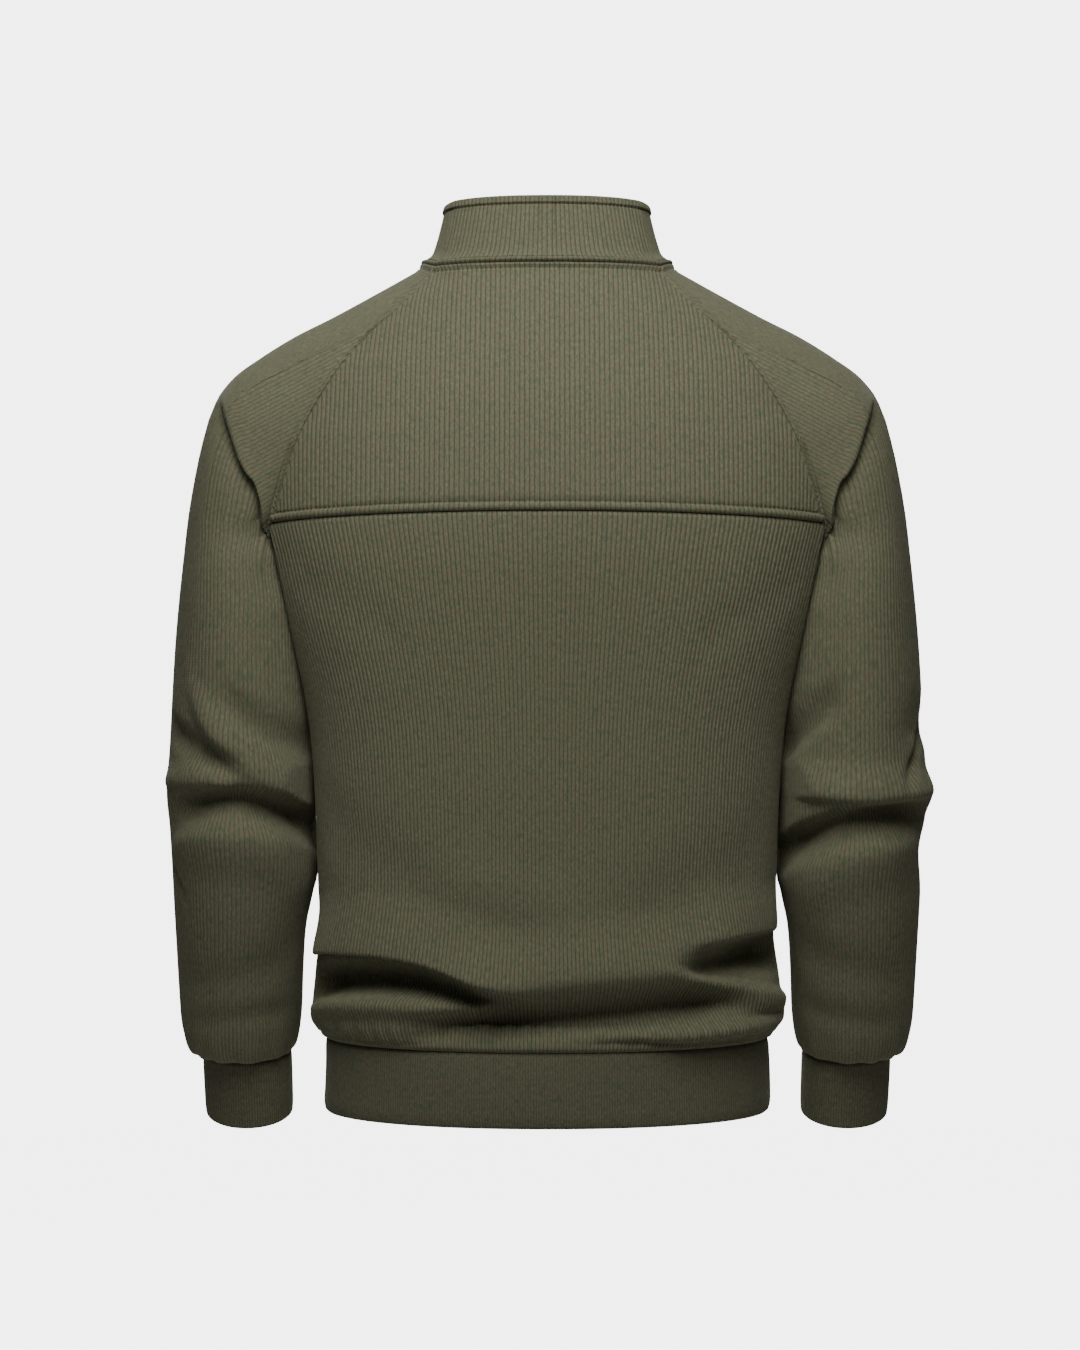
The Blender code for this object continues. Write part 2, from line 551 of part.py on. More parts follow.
def wall(name, outer, inner, columns, rows, look, collection, closed=False, kept=None):
    """A closed wall: a fine outer grid of points, and an inner one that skips points.

    columns and rows are the indices that the inner grid uses. kept says which of the coarse
    cells have cloth. A closed grid joins its last column to its first.
    """
    bm = bmesh.new()
    fine_columns = outer.shape[1]
    columns = list(columns) + ([fine_columns] if closed else [])
    cells = [(r, c) for r in range(len(rows) - 1) for c in range(len(columns) - 1)]
    cloth = {cell for cell in cells if kept is None or kept(*cell)}
    made = {}

    def vertex(grid, r, c):
        key = (grid is inner, r, c % fine_columns if closed else c)
        if key not in made:
            made[key] = bm.verts.new(grid[key[1], key[2]])
        return made[key]

    def rim(chain, pair):
        """Faces between a chain of outer points and the two inner points beside it."""
        middle = len(chain) // 2
        for i in range(len(chain) - 1):
            bm.faces.new((chain[i], chain[i + 1], pair[0] if i < middle else pair[1]))
        bm.faces.new((chain[middle], pair[1], pair[0]))

    last = len(columns) - 1
    for r, c in cloth:
        row_run = range(rows[r], rows[r + 1] + 1)
        column_run = range(columns[c], columns[c + 1] + 1)
        for i in row_run[:-1]:
            for j in column_run[:-1]:
                bm.faces.new((vertex(outer, i, j), vertex(outer, i, j + 1),
                              vertex(outer, i + 1, j + 1), vertex(outer, i + 1, j)))
        corners = [vertex(inner, rows[a], columns[b])
                   for a, b in ((r, c), (r + 1, c), (r + 1, c + 1), (r, c + 1))]
        bm.faces.new(corners)
        for edge_row, beyond in ((r, r - 1), (r + 1, r + 1)):
            if (beyond, c) not in cloth:
                chain = [vertex(outer, rows[edge_row], j) for j in column_run]
                pair = [vertex(inner, rows[edge_row], columns[b]) for b in (c, c + 1)]
                rim(chain, pair)
        for edge_column, beyond in ((c, c - 1), (c + 1, c + 1)):
            beyond = beyond % last if closed else beyond
            if (r, beyond) not in cloth:
                chain = [vertex(outer, i, columns[edge_column]) for i in row_run]
                pair = [vertex(inner, rows[a], columns[edge_column]) for a in (r, r + 1)]
                rim(chain, pair)
    bmesh.ops.recalc_face_normals(bm, faces=bm.faces)
    bmesh.ops.triangulate(bm, faces=bm.faces)
    mesh = bpy.data.meshes.new(name)
    bm.to_mesh(mesh)
    bm.free()
    return add_object(name, mesh, look, collection)


def rib_columns(length, pitch, first=0.0):
    """Places across a panel, mirrored about its middle, two to a rib, and each one's rise."""
    count = max(1, round((length - first) / (pitch / 2)))
    half = first + (length - first) * np.arange(count + 1) / count
    if first > 0:
        places = np.concatenate([-half[::-1], half])
        order = np.concatenate([np.arange(count + 1)[::-1], np.arange(count + 1)])
    else:
        places = np.concatenate([-half[:0:-1], half])
        order = np.concatenate([np.arange(count, 0, -1), np.arange(count + 1)])
    return places, np.where(order % 2 == 1, RIB_HEIGHT, 0.0)


def body_grid(side, across, heights, rise):
    """Outer and inner points of a panel of the body, with edges that fit the sleeves' seams."""
    point = side.point(across, heights)
    out = side.normal(across, heights, side.point)
    for level in (side.yoke_level(across), HEM_SEAM):
        out[np.abs(heights - level) < 2 * SEAM_GAP, 2] = 0.0
    out = unit(out)
    outer = point + rise[..., None] * out
    inner = point - CLOTH * out
    seam = BACK_SEAM if side is BACK else FRONT_SEAM
    edge = np.abs(across) >= side.neck_across - 1e-9
    on_edge = edge & (np.abs(heights - side.top(across)) < 1e-6)
    sign = np.sign(across[on_edge])
    place = np.interp(np.abs(across[on_edge]), seam.across, np.arange(len(seam.across)))
    i = np.minimum(place.astype(int), len(seam.across) - 2)
    t = (place - i)[:, None]
    mirror = np.stack([sign, np.ones_like(sign), np.ones_like(sign)], axis=1)
    edge_point = (seam.points[i] * (1 - t) + seam.points[i + 1] * t) * mirror
    edge_out = unit((seam.body_edge_out[i] * (1 - t) + seam.body_edge_out[i + 1] * t) * mirror)
    edge_way = unit((seam.body_way[i] * (1 - t) + seam.body_way[i + 1] * t) * mirror)
    flat = (seam.flat[i] * (1 - t) + seam.flat[i + 1] * t)[:, 0]
    outer[on_edge] = edge_point + (rise[on_edge] * flat)[:, None] * edge_out
    room = np.broadcast_to(np.abs(heights[0] - heights[1]), heights.shape)[on_edge]
    set_back = np.minimum(SKIVE, SKIVE_SHARE * room)[:, None]
    inner[on_edge] = edge_point - CLOTH * edge_out + set_back * edge_way
    on_neck = (np.abs(across) < side.neck_across - 1e-9) & (np.abs(heights - side.top(across)) < 1e-6)
    lowered = side.point(across, heights - SKIVE) - CLOTH * out
    inner[on_neck] = lowered[on_neck]
    return outer, inner


def build_yoke(look, collection):
    end = BACK.seam_across[np.searchsorted(-BACK.seam_height, -(YOKE_SEAM + YOKE_END))]
    across, rib = rib_columns(end, RIB_PITCH)
    bottom = BACK.yoke_level(across) + SEAM_GAP
    tops = BACK.top(across)
    rows, rises = [], []
    welt_top = YOKE_WELT[-1][0]
    for share in UPPER_SHARES:
        rows.append(bottom + welt_top + (tops - bottom - welt_top) * share)
        rises.append(rib)
    rises[0] = np.where(np.abs(across) < BACK.neck_across, 0.0, rib)
    for distance, rise in reversed(YOKE_WELT):
        rows.append(bottom + distance)
        rises.append(rib * 0.5 + rise)
    heights = np.array(rows)
    spread = np.broadcast_to(across, heights.shape)
    outer, inner = body_grid(BACK, spread, heights, np.array(rises))
    columns = coarse_steps(len(across), INNER_STEP, (len(across) // 2,), SIDE_STEPS)
    wall("back_yoke", outer, inner, columns, YOKE_INNER_ROWS, look, collection)


def build_back_panel(look, collection):
    across, rib = rib_columns(BACK.full - 0.0002, RIB_PITCH)
    tops = np.where(np.abs(across) < BACK.corner, BACK.yoke_level(across), BACK.top(across))
    rows = [tops] + [np.full(len(across), height) for height in LOWER_ROWS]
    rises = [rib for _ in rows]
    rises[0] = np.where(np.abs(across) < BACK.corner, rib * EDGE_RIB, rib)
    rises[-1] = rib * EDGE_RIB
    heights = np.array(rows)
    heights[-1] += SEAM_GAP
    spread = np.broadcast_to(across, heights.shape)
    outer, inner = body_grid(BACK, spread, heights, np.array(rises))
    columns = coarse_steps(len(across), INNER_STEP, (len(across) // 2,), SIDE_STEPS)
    wall("back_panel", outer, inner, columns, range(len(rows)), look, collection)


def build_front_panel(look, collection):
    across, rib = rib_columns(FRONT.full - 0.0002, RIB_PITCH, SLIT_HALF)
    tops = FRONT.top(across)
    first = LOWER_ROWS[0]
    rows = [first + (tops - first) * share for share in FRONT_SHARES]
    lower = (first, SLIT_END) + LOWER_ROWS[1:]
    rows += [np.full(len(across), height) for height in lower]
    heights = np.array(rows)
    heights[-1] += SEAM_GAP
    rises = np.broadcast_to(rib, heights.shape).copy()
    rises[0] = np.where(np.abs(across) < FRONT.neck_across, 0.0, rib)
    rises[-1] = rib * EDGE_RIB
    spread = np.broadcast_to(across, heights.shape)
    outer, inner = body_grid(FRONT, spread, heights, rises)
    half = len(across) // 2
    columns = coarse_steps(len(across), INNER_STEP, (half - 1, half), SIDE_STEPS)
    slit_cell = columns.index(half - 1)
    slit_row = len(FRONT_SHARES) + 1
    wall("front_panel", outer, inner, columns, range(len(rows)), look, collection,
         kept=lambda r, c: c != slit_cell or r >= slit_row)
    beside = slice(0, slit_row + 2)
    return inner[beside, half], inner[beside, half + INNER_STEP]


def even_angles(count):
    """Angles from -180, evenly spaced along the arm's ring."""
    fine = np.linspace(-180.0, 180.0, 1441)
    ring = plain_ring(np.full(len(fine), 12.0), fine)
    run = np.concatenate([[0.0], np.cumsum(np.linalg.norm(np.diff(ring, axis=0), axis=1))])
    return np.interp(np.arange(count) / count * run[-1], run, fine), run[-1]


def first_ring(angle):
    """Where the sleeve begins at each angle: its ring, and whether that is on the neck."""
    behind = angle < 0
    on_neck = np.abs(angle) <= np.where(behind, BACK_SEAM.angles[0], FRONT_SEAM.angles[0])
    first = np.where(behind, BACK_SEAM.ring(np.abs(angle)), FRONT_SEAM.ring(np.abs(angle)))
    return np.where(on_neck, 0.0, first), on_neck


def seam_flat(angle):
    """How flat the sleeve meets the body at each angle."""
    first, on_neck = first_ring(angle)
    flat = np.where(angle < 0, BACK_SEAM.read(BACK_SEAM.flat, first)[..., 0],
                    FRONT_SEAM.read(FRONT_SEAM.flat, first)[..., 0])
    return np.where(on_neck, 1.0, flat)


def sleeve_shape(folds, lapped=True):
    """The sleeve's surface with its folds, as a function of ring and angle.

    Where the shoulder's cloth laps over the arm, the inside only dips.
    """
    def shape(ring, angle):
        ring, angle = np.broadcast_arrays(np.asarray(ring, float), np.asarray(angle, float))
        turned = (angle + 180.0) % 360.0 - 180.0
        point = met_ring(ring, turned)
        level = np.interp(ring, RING_NUMBERS, SLEEVE["height"])
        rise = fold_rise(folds, turned, level)
        crease = smooth(np.abs(turned), CAP_CREASE["angle"], CAP_CREASE["ring"])
        depth = smooth(np.abs(turned), CAP_CREASE["angle"], CAP_CREASE["depth"])
        past = (ring - crease) * CAP_RING
        lip = CAP_LIP * np.exp(-np.maximum(-past, 0.0) / CAP_LIP_REACH)
        drop = -CAP_DROP * np.exp(-np.abs(past) / CAP_DROP_REACH)
        rise = rise + depth * np.where((past < 0) & lapped, lip, drop)
        near, low, lowest = VALLEY_RINGS
        drawn = ease((ring - first_ring(turned)[0]) / near) * ease((lowest - ring) / (lowest - low))
        rise = rise - VALLEY * (1 - seam_flat(turned)) * drawn
        return point + rise[..., None] * ring_normal(ring, turned)
    return shape


def build_sleeve(name, sign, folds, look, collection):
    count = 2 * round(even_angles(10)[1] / RIB_PITCH)
    angle, _ = even_angles(count)
    rib = np.where(np.arange(count) % 2 == 1, RIB_HEIGHT, 0.0)
    long_steps = np.flatnonzero(np.abs(np.diff(first_ring(angle)[0])) > SEAM_STEP)
    columns = [i + int(np.sum(long_steps < i)) for i in range(0, count, INNER_STEP)]
    angle = np.insert(angle, long_steps + 1, (angle[long_steps] + angle[long_steps + 1]) / 2)
    rib = np.insert(rib, long_steps + 1, RIB_HEIGHT / 2)
    count = len(angle)
    back_side = angle < 0
    first, on_neck = first_ring(angle)
    crease = smooth(np.abs(angle), CAP_CREASE["angle"], CAP_CREASE["ring"])
    crease = np.maximum(crease, first + CAP_STEP)
    above = crease - LAP_HALF
    below = crease + LAP_HALF
    rows = [first + (above - first) * share for share in CAP_SHARES]
    rows += [above, below, below + (FIRST_WHOLE_RING - below) * LAP_SHARE]
    arm = np.interp(-np.array(ARM_ROWS), -SLEEVE["height"], RING_NUMBERS)
    rows += [np.full(count, ring) for ring in arm]
    rings = np.array(rows)
    angles = np.broadcast_to(angle, rings.shape)
    shape = sleeve_shape(folds)
    point = shape(rings, angles)
    out = ring_normal(np.maximum(rings, 0.02), angles, shape)
    inside = sleeve_shape(folds, lapped=False)
    inside_out = ring_normal(np.maximum(rings, 0.02), angles)
    rise = np.broadcast_to(rib, rings.shape).copy()
    rise[0, on_neck] = 0.0
    rise[-1] *= EDGE_RIB
    for seam, half in ((BACK_SEAM, back_side & ~on_neck), (FRONT_SEAM, ~back_side & ~on_neck)):
        flat = seam_flat(angle[half])
        away = ease((rings[:, half] - first[half]) / MEETING_FADE)
        rise[:, half] *= flat + (1 - flat) * away
    outer = point + rise[..., None] * out
    inner = inside(rings, angles) - CLOTH * inside_out
    for seam, half in ((BACK_SEAM, back_side & ~on_neck), (FRONT_SEAM, ~back_side & ~on_neck)):
        met = first[half]
        edge_way = unit(seam.read(seam.sleeve_way, met))
        edge = seam.read(seam.points, met) + SEAM_GAP * edge_way
        edge_out = unit(seam.read(seam.sleeve_edge_out, met))
        outer[0, half] = edge + rise[0, half, None] * edge_out
        tangent = unit(seam.read(seam.tangent, met))
        down = point[1, half] - edge
        down = down - tangent * np.sum(down * tangent, axis=1, keepdims=True)
        room = np.linalg.norm(down, axis=1, keepdims=True)
        set_back = np.minimum(SLEEVE_SKIVE, SKIVE_SHARE * room)
        inner[0, half] = edge - CLOTH * edge_out + set_back * unit(down)
    inner[0, on_neck] += SKIVE * unit(point[1, on_neck] - point[0, on_neck])
    mirror = np.array([sign, 1.0, 1.0])
    wall(name, outer * mirror, inner * mirror, columns, range(len(rows)), look, collection,
         closed=True)


# ---------------------------------------------------------------- collar
def neck_curve():
    """The neck seam from the slit on the wearer's left, round behind, to the slit on the right."""
    front_across = np.linspace(SLIT_HALF, FRONT.neck_across, 24)
    front = FRONT.level_point(front_across, FRONT.top(front_across))
    turn = np.linspace(FRONT_SEAM.angles[0], -BACK_SEAM.angles[0], 20)[1:-1]
    shoulder = met_ring(np.zeros(len(turn)), turn)
    back_across = np.linspace(BACK.neck_across, 0.0, 24)
    back = BACK.level_point(back_across, BACK.top(back_across))
    half = np.concatenate([front, shoulder, back])
    return np.concatenate([half, half[-2::-1] * np.array([-1.0, 1.0, 1.0])])


def collar_point(share, up):
    """A point of the collar's outside: share round it, and up from its seam to its top edge."""
    curve = neck_curve()
    run = np.concatenate([[0.0], np.cumsum(np.linalg.norm(np.diff(curve, axis=0), axis=1))])
    base = np.stack([np.interp(share * run[-1], run, curve[:, i]) for i in range(3)], axis=-1)
    round_neck = np.clip((base[..., 1] - COLLAR_DROP[0]) / COLLAR_DROP[1], 0.0, 1.0)
    top_height = COLLAR_TOP_FRONT + (COLLAR_TOP_BACK - COLLAR_TOP_FRONT) * ease(round_neck)
    inward = np.power(np.maximum(up, 0.0), COLLAR_LEAN_POWER)
    x = base[..., 0] * (1 - COLLAR_LEAN[0] * inward)
    y = base[..., 1] * (1 - COLLAR_LEAN[1] * inward) - COLLAR_BACKWARD * inward
    x = np.where(np.abs(base[..., 0]) < SLIT_HALF * 1.5, base[..., 0], x)
    z = base[..., 2] + SEAM_GAP + (top_height - base[..., 2]) * up
    return np.stack(np.broadcast_arrays(x, y, z), axis=-1)


def collar_frame(share, up):
    """Outer point and way out of the collar."""
    step = 0.004
    step_up = 0.05
    along = collar_point(np.minimum(share + step, 1.0), up) - collar_point(np.maximum(share - step, 0.0), up)
    higher = collar_point(share, np.minimum(up + step_up, 1.0))
    rise = higher - collar_point(share, np.maximum(up - step_up, 0.0))
    return collar_point(share, up), unit(np.cross(along, rise))


COLLAR_ROWS = table("up rise", [
    (0.000, 0.0), (0.060, 0.0024), (0.130, 0.0), (0.500, 0.0), (0.880, 0.0), (1.000, 0.0012),
])
COLLAR_INNER_ROWS = (0, 2, 3, 5)
COLLAR_STEP = 2


def build_collar(look, collection):
    run = np.linalg.norm(np.diff(neck_curve(), axis=0), axis=1).sum()
    count = 2 * round(run / RIB_PITCH)
    share = np.arange(count + 1) / count
    rib = np.where(np.arange(count + 1) % 2 == 1, RIB_HEIGHT, 0.0)
    ups = np.broadcast_to(COLLAR_ROWS["up"][:, None], (len(COLLAR_ROWS["up"]), count + 1))
    shares = np.broadcast_to(share, ups.shape)
    point, out = collar_frame(shares, ups)
    rise = COLLAR_ROWS["rise"][:, None] + rib
    rise[0] = COLLAR_ROWS["rise"][0]
    outer = point + rise[..., None] * out
    inner = point - COLLAR_CLOTH * out
    inner[0, :, 2] += SKIVE / 2
    for grid in (outer, inner):
        for end, sign in ((0, 1), (-1, -1)):
            grid[:, end, 0] = sign * SLIT_HALF
    columns = coarse_steps(count + 1, COLLAR_STEP)
    wall("collar", outer, inner, columns, COLLAR_INNER_ROWS, look, collection)
    upward = list(COLLAR_INNER_ROWS)[::-1]
    return inner[upward, 0], inner[upward, COLLAR_STEP]


# ---------------------------------------------------------------- hem band and cuffs
def band_outline(share, half_width, back, front, power):
    """A closed level outline with points at even shares of its length, from the centre back."""
    turn = np.linspace(0.0, 2 * math.pi, 1601)
    power = 2 / power
    x = half_width * np.sign(np.sin(turn)) * np.abs(np.sin(turn)) ** power
    depth = np.where(np.cos(turn) > 0, back, front)
    y = depth * np.sign(np.cos(turn)) * np.abs(np.cos(turn)) ** power
    run = np.concatenate([[0.0], np.cumsum(np.hypot(np.diff(x), np.diff(y)))])
    return np.interp(share * run[-1], run, x), np.interp(share * run[-1], run, y), run[-1]


BAND_POWER = 2.15
BAND_INNER_ROWS = (0, 2, 3)
CUFF_INNER_STEP = 3
HEM_ROWS = table("height half_width back front", [
    (-0.6220, 0.1800, 0.1085, 0.1075),
    (-0.6290, 0.1808, 0.1090, 0.1080),
    (-0.6740, 0.1822, 0.1100, 0.1090),
    (-0.6815, 0.1806, 0.1086, 0.1076),
])


def build_hem_band(look, collection):
    first = [HEM_ROWS[name][0] for name in ("half_width", "back", "front")]
    count = 2 * round(band_outline(0.0, *first, BAND_POWER)[2] / RIB_PITCH)
    share = np.arange(count) / count
    rib = np.where(np.arange(count) % 2 == 1, RIB_HEIGHT * BAND_RIB, 0.0)
    outer, inner = [], []
    last = len(HEM_ROWS["height"]) - 1
    for i, (height, half_width, back, front) in enumerate(zip(*HEM_ROWS.values())):
        x, y, _ = band_outline(share, half_width, back, front, BAND_POWER)
        flat = np.stack([x, y], axis=1)
        along = np.roll(flat, -1, axis=0) - np.roll(flat, 1, axis=0)
        out = unit(np.stack([-along[:, 1], along[:, 0]], axis=1))
        level = np.full((count, 1), height)
        raised = (rib * (EDGE_RIB if i in (0, last) else 1.0))[:, None]
        outer.append(np.hstack([flat + out * raised, level]))
        inner.append(np.hstack([flat - out * BAND_CLOTH, level]))
    columns = range(0, count, INNER_STEP)
    wall("hem_band", np.array(outer), np.array(inner), columns, BAND_INNER_ROWS, look,
         collection, closed=True)


def build_cuff(name, sign, look, collection):
    count = 2 * round(2 * math.pi * CUFF["half_depth"][0] / RIB_PITCH)
    turn = np.arange(count) / count * 2 * math.pi
    rib = np.where(np.arange(count) % 2 == 1, RIB_HEIGHT * BAND_RIB, 0.0)
    outer, inner = [], []
    last = len(CUFF["height"]) - 1
    for i, (across, along, height, half_width, half_depth, pitch) in enumerate(zip(*CUFF.values())):
        slope = math.tan(math.radians(pitch))
        raised = rib * (EDGE_RIB if i in (0, last) else 1.0)
        for grid, offset in ((outer, raised), (inner, -BAND_CLOTH)):
            x = across + (half_width + offset) * np.cos(turn)
            y = (half_depth + offset) * np.sin(turn)
            z = height - SEAM_GAP - y * slope
            grid.append(np.stack([sign * x, along + y, z], axis=1))
    columns = range(0, count, CUFF_INNER_STEP)
    wall(name, np.array(outer), np.array(inner), columns, BAND_INNER_ROWS, look, collection,
         closed=True)


# ---------------------------------------------------------------- zip
# The slider's and the pull tab's sizes: across, along the zip and out of it, from the middle of
# the slider's length on the front of the chain.
PLATE_HALF = 0.0039       # the two plates that hold the chain
PLATE_LONG = 0.0050
PLATE_FRONT = (0.0003, 0.0013)
PLATE_BACK = (-0.0048, -0.0038)
POST_HALF = 0.0012        # what joins the plates, above the chain's end
POST_RUN = (0.0016, 0.0046)
CHAIN_END = 0.0010
CROWN_HALF = 0.0010       # the bridge that holds the pull tab
CROWN_LONG = 0.0036
CROWN_FOOT = 0.0010
CROWN_RUN = (0.0030, 0.0038)
HINGE_UP = -0.00175
HINGE_OUT = 0.00215
BAR_RADIUS = 0.00055
TAB_HALF = 0.0030
TAB_WINDOW = (0.0015, 0.0060)
TAB_LENGTH = 0.0240
JOIN = 0.0002             # how far pieces of one casting run into each other
TAPE_TOP = 0.002          # how far below the collar's edge the tapes begin


def slit_edge(collar, front):
    """The inside of the slit's left edge from the top down: points, the way across, the way out."""
    edge = np.concatenate([collar[0], front[0]])
    beside = np.concatenate([collar[1], front[1]])
    height = edge[:, 2].copy()
    ends = (height[0] - TAPE_TOP, SLIT_END - TAPE_TAIL)
    for row, level in zip((0, -1), ends):
        for line in (edge, beside):
            line[row] = [np.interp(-level, -height, line[:, i]) for i in range(3)]
    across = unit(beside - edge)
    down = np.gradient(edge, axis=0)
    return edge, across, -unit(np.cross(across, down))


def strip(name, corners, look, collection):
    """A long closed strip from the four corners of its section at each row."""
    bm = bmesh.new()
    rings = [[bm.verts.new(corner) for corner in section] for section in np.stack(corners, axis=1)]
    for first, second in zip(rings, rings[1:]):
        for i in range(4):
            j = (i + 1) % 4
            bm.faces.new((first[i], first[j], second[j], second[i]))
    bm.faces.new(rings[0])
    bm.faces.new(rings[-1])
    bmesh.ops.recalc_face_normals(bm, faces=bm.faces)
    mesh = bpy.data.meshes.new(name)
    bm.to_mesh(mesh)
    bm.free()
    return add_object(name, mesh, look, collection)


def build_tapes(edge, across, out, look, collection):
    """The two tapes behind the slit; the left one's front at the chain is given back."""
    front = edge - TAPE_GAP * out
    near = front + across * ((TAPE_INNER - front[:, :1]) / across[:, :1])
    far = front + across * ((TAPE_OUTER - front[:, :1]) / across[:, :1])
    for name, mirror in (("zip_tape_left", (1, 1, 1)), ("zip_tape_right", (-1, 1, 1))):
        corners = [near, far, far - TAPE_DEPTH * out, near - TAPE_DEPTH * out]
        strip(name, [corner * np.array(mirror) for corner in corners], look, collection)
    return near


def build_chain(near, out, look, collection):
    """The closed teeth between the tapes; its front's middle line is given back."""
    middle = near * np.array([0.0, 1.0, 1.0])
    away = unit(out * np.array([0.0, 1.0, 1.0]))
    back = middle + SEAM_GAP * away
    front = back + CHAIN_DEPTH * away
    levels = [SLIDER_HEIGHT + CHAIN_END]
    levels += [z for z in front[:, 2] if SLIT_END + CHAIN_DEPTH * 2 < z < SLIDER_HEIGHT - PLATE_LONG]
    levels += [SLIT_END + CHAIN_DEPTH]
    side = np.array([CHAIN_HALF, 0.0, 0.0])
    read = [[np.array([np.interp(-level, -line[:, 2], line[:, i]) for i in range(3)])
             for level in levels] for line in (back, front)]
    back_line = np.array(read[0])
    front_line = np.array(read[1])
    corners = [back_line - side, back_line + side, front_line + side, front_line - side]
    strip("zip_chain", corners, look, collection)
    return front


def block(low, high):
    """A loose box between two corners."""
    bm = bmesh.new()
    size = [b - a for a, b in zip(low, high)]
    middle = [(a + b) / 2 for a, b in zip(low, high)]
    bmesh.ops.create_cube(bm, size=1.0, matrix=Matrix.LocRotScale(middle, None, size))
    return loose(bm)


def rod(radius, half):
    """A loose round bar across the zip."""
    bm = bmesh.new()
    bmesh.ops.create_cone(bm, cap_ends=True, segments=12, radius1=radius, radius2=radius,
                          depth=2 * half, matrix=Matrix.Rotation(math.pi / 2, 4, "Y"))
    return loose(bm)


def tab_plate():
    """The pull tab's plate, with a round lower end."""
    bm = bmesh.new()
    turn = np.linspace(0.0, math.pi, 9)
    low = TAB_LENGTH - TAB_HALF
    outline = [(TAB_HALF, -TAB_WINDOW[1])]
    outline += [(TAB_HALF * math.cos(t), -low - TAB_HALF * math.sin(t)) for t in turn]
    outline += [(-TAB_HALF, -TAB_WINDOW[1])]
    flat = bm.faces.new([bm.verts.new((x, u, -BAR_RADIUS)) for x, u in outline])
    raised = bmesh.ops.extrude_face_region(bm, geom=[flat])["geom"]
    moved = [v for v in raised if isinstance(v, bmesh.types.BMVert)]
    bmesh.ops.translate(bm, vec=(0.0, 0.0, 2 * BAR_RADIUS), verts=moved)
    bmesh.ops.recalc_face_normals(bm, faces=bm.faces)
    return loose(bm)


def loose(bm):
    """The bmesh as an object that is still to be joined."""
    mesh = bpy.data.meshes.new("piece")
    bm.to_mesh(mesh)
    bm.free()
    thing = bpy.data.objects.new("piece", mesh)
    bpy.context.scene.collection.objects.link(thing)
    return thing


def joined(name, pieces, place, look, collection):
    """One body from the union of loose pieces, set at its place."""
    body = pieces[0]
    for piece in pieces[1:]:
        union = body.modifiers.new("join", "BOOLEAN")
        union.operation = "UNION"
        union.object = piece
    bpy.context.view_layer.update()
    whole = body.evaluated_get(bpy.context.evaluated_depsgraph_get())
    mesh = bpy.data.meshes.new_from_object(whole)
    mesh.name = name
    for piece in pieces:
        bpy.data.objects.remove(piece, do_unlink=True)
    thing = add_object(name, mesh, look, collection)
    thing.matrix_world = place
    return thing


def slider_place(front):
    """The slider's frame on the chain: across, up the zip, and out of it."""
    upward = front[::-1]
    heights = (SLIDER_HEIGHT - PLATE_LONG, SLIDER_HEIGHT, SLIDER_HEIGHT + PLATE_LONG)
    depths = np.interp(heights, upward[:, 2], upward[:, 1])
    across = Vector((1.0, 0.0, 0.0))
    up = Vector((0.0, depths[2] - depths[0], heights[2] - heights[0])).normalized()
    out = across.cross(up)
    turn = Matrix((across, up, out)).transposed()
    return Matrix.LocRotScale(Vector((0.0, depths[1], SLIDER_HEIGHT)), turn, None)


def build_slider(place, look, collection):
    pieces = [
        block((-PLATE_HALF, -PLATE_LONG, PLATE_FRONT[0]), (PLATE_HALF, PLATE_LONG, PLATE_FRONT[1])),
        block((-PLATE_HALF, -PLATE_LONG, PLATE_BACK[0]), (PLATE_HALF, PLATE_LONG, PLATE_BACK[1])),
        block((-POST_HALF, POST_RUN[0], PLATE_BACK[1] - JOIN),
              (POST_HALF, POST_RUN[1], PLATE_FRONT[0] + JOIN)),
        block((-CROWN_HALF, -CROWN_LONG, CROWN_RUN[0]), (CROWN_HALF, CROWN_LONG, CROWN_RUN[1])),
    ]
    for foot in (-CROWN_LONG, CROWN_LONG - CROWN_FOOT):
        pieces.append(block((-CROWN_HALF, foot, PLATE_FRONT[1] - JOIN),
                            (CROWN_HALF, foot + CROWN_FOOT, CROWN_RUN[0] + JOIN)))
    joined("zip_slider", pieces, place, look, collection)


def build_pull_tab(place, look, collection):
    arm_in, arm_end = TAB_WINDOW
    arm_out = TAB_HALF - JOIN
    pieces = [tab_plate(), rod(BAR_RADIUS, arm_out)]
    for low, high in ((arm_in, arm_out), (-arm_out, -arm_in)):
        pieces.append(block((low, -arm_end - JOIN, -BAR_RADIUS + JOIN / 2),
                            (high, 0.0, BAR_RADIUS - JOIN / 2)))
    hinge = place @ Matrix.Translation((0.0, HINGE_UP, HINGE_OUT))
    joined("zip_pull_tab", pieces, hinge, look, collection)


def build_zip(collar, front, collection):
    edge, across, out = slit_edge(collar, front)
    near = build_tapes(edge, across, out, TAPE, collection)
    place = slider_place(build_chain(near, out, METAL, collection))
    build_slider(place, METAL, collection)
    build_pull_tab(place, METAL, collection)


# ---------------------------------------------------------------- the whole garment
def main():
    for thing in list(bpy.data.objects):
        bpy.data.objects.remove(thing, do_unlink=True)
    garment = bpy.data.collections.new("quarter_zip_sweater")
    bpy.context.scene.collection.children.link(garment)
    build_yoke(KNIT, garment)
    build_back_panel(KNIT, garment)
    front = build_front_panel(KNIT, garment)
    build_sleeve("sleeve_left", 1, LEFT_FOLDS, KNIT, garment)
    build_sleeve("sleeve_right", -1, RIGHT_FOLDS, KNIT, garment)
    collar = build_collar(KNIT, garment)
    build_hem_band(KNIT_BAND, garment)
    build_cuff("cuff_left", 1, KNIT_BAND, garment)
    build_cuff("cuff_right", -1, KNIT_BAND, garment)
    build_zip(collar, front, garment)


main()
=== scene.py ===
import math

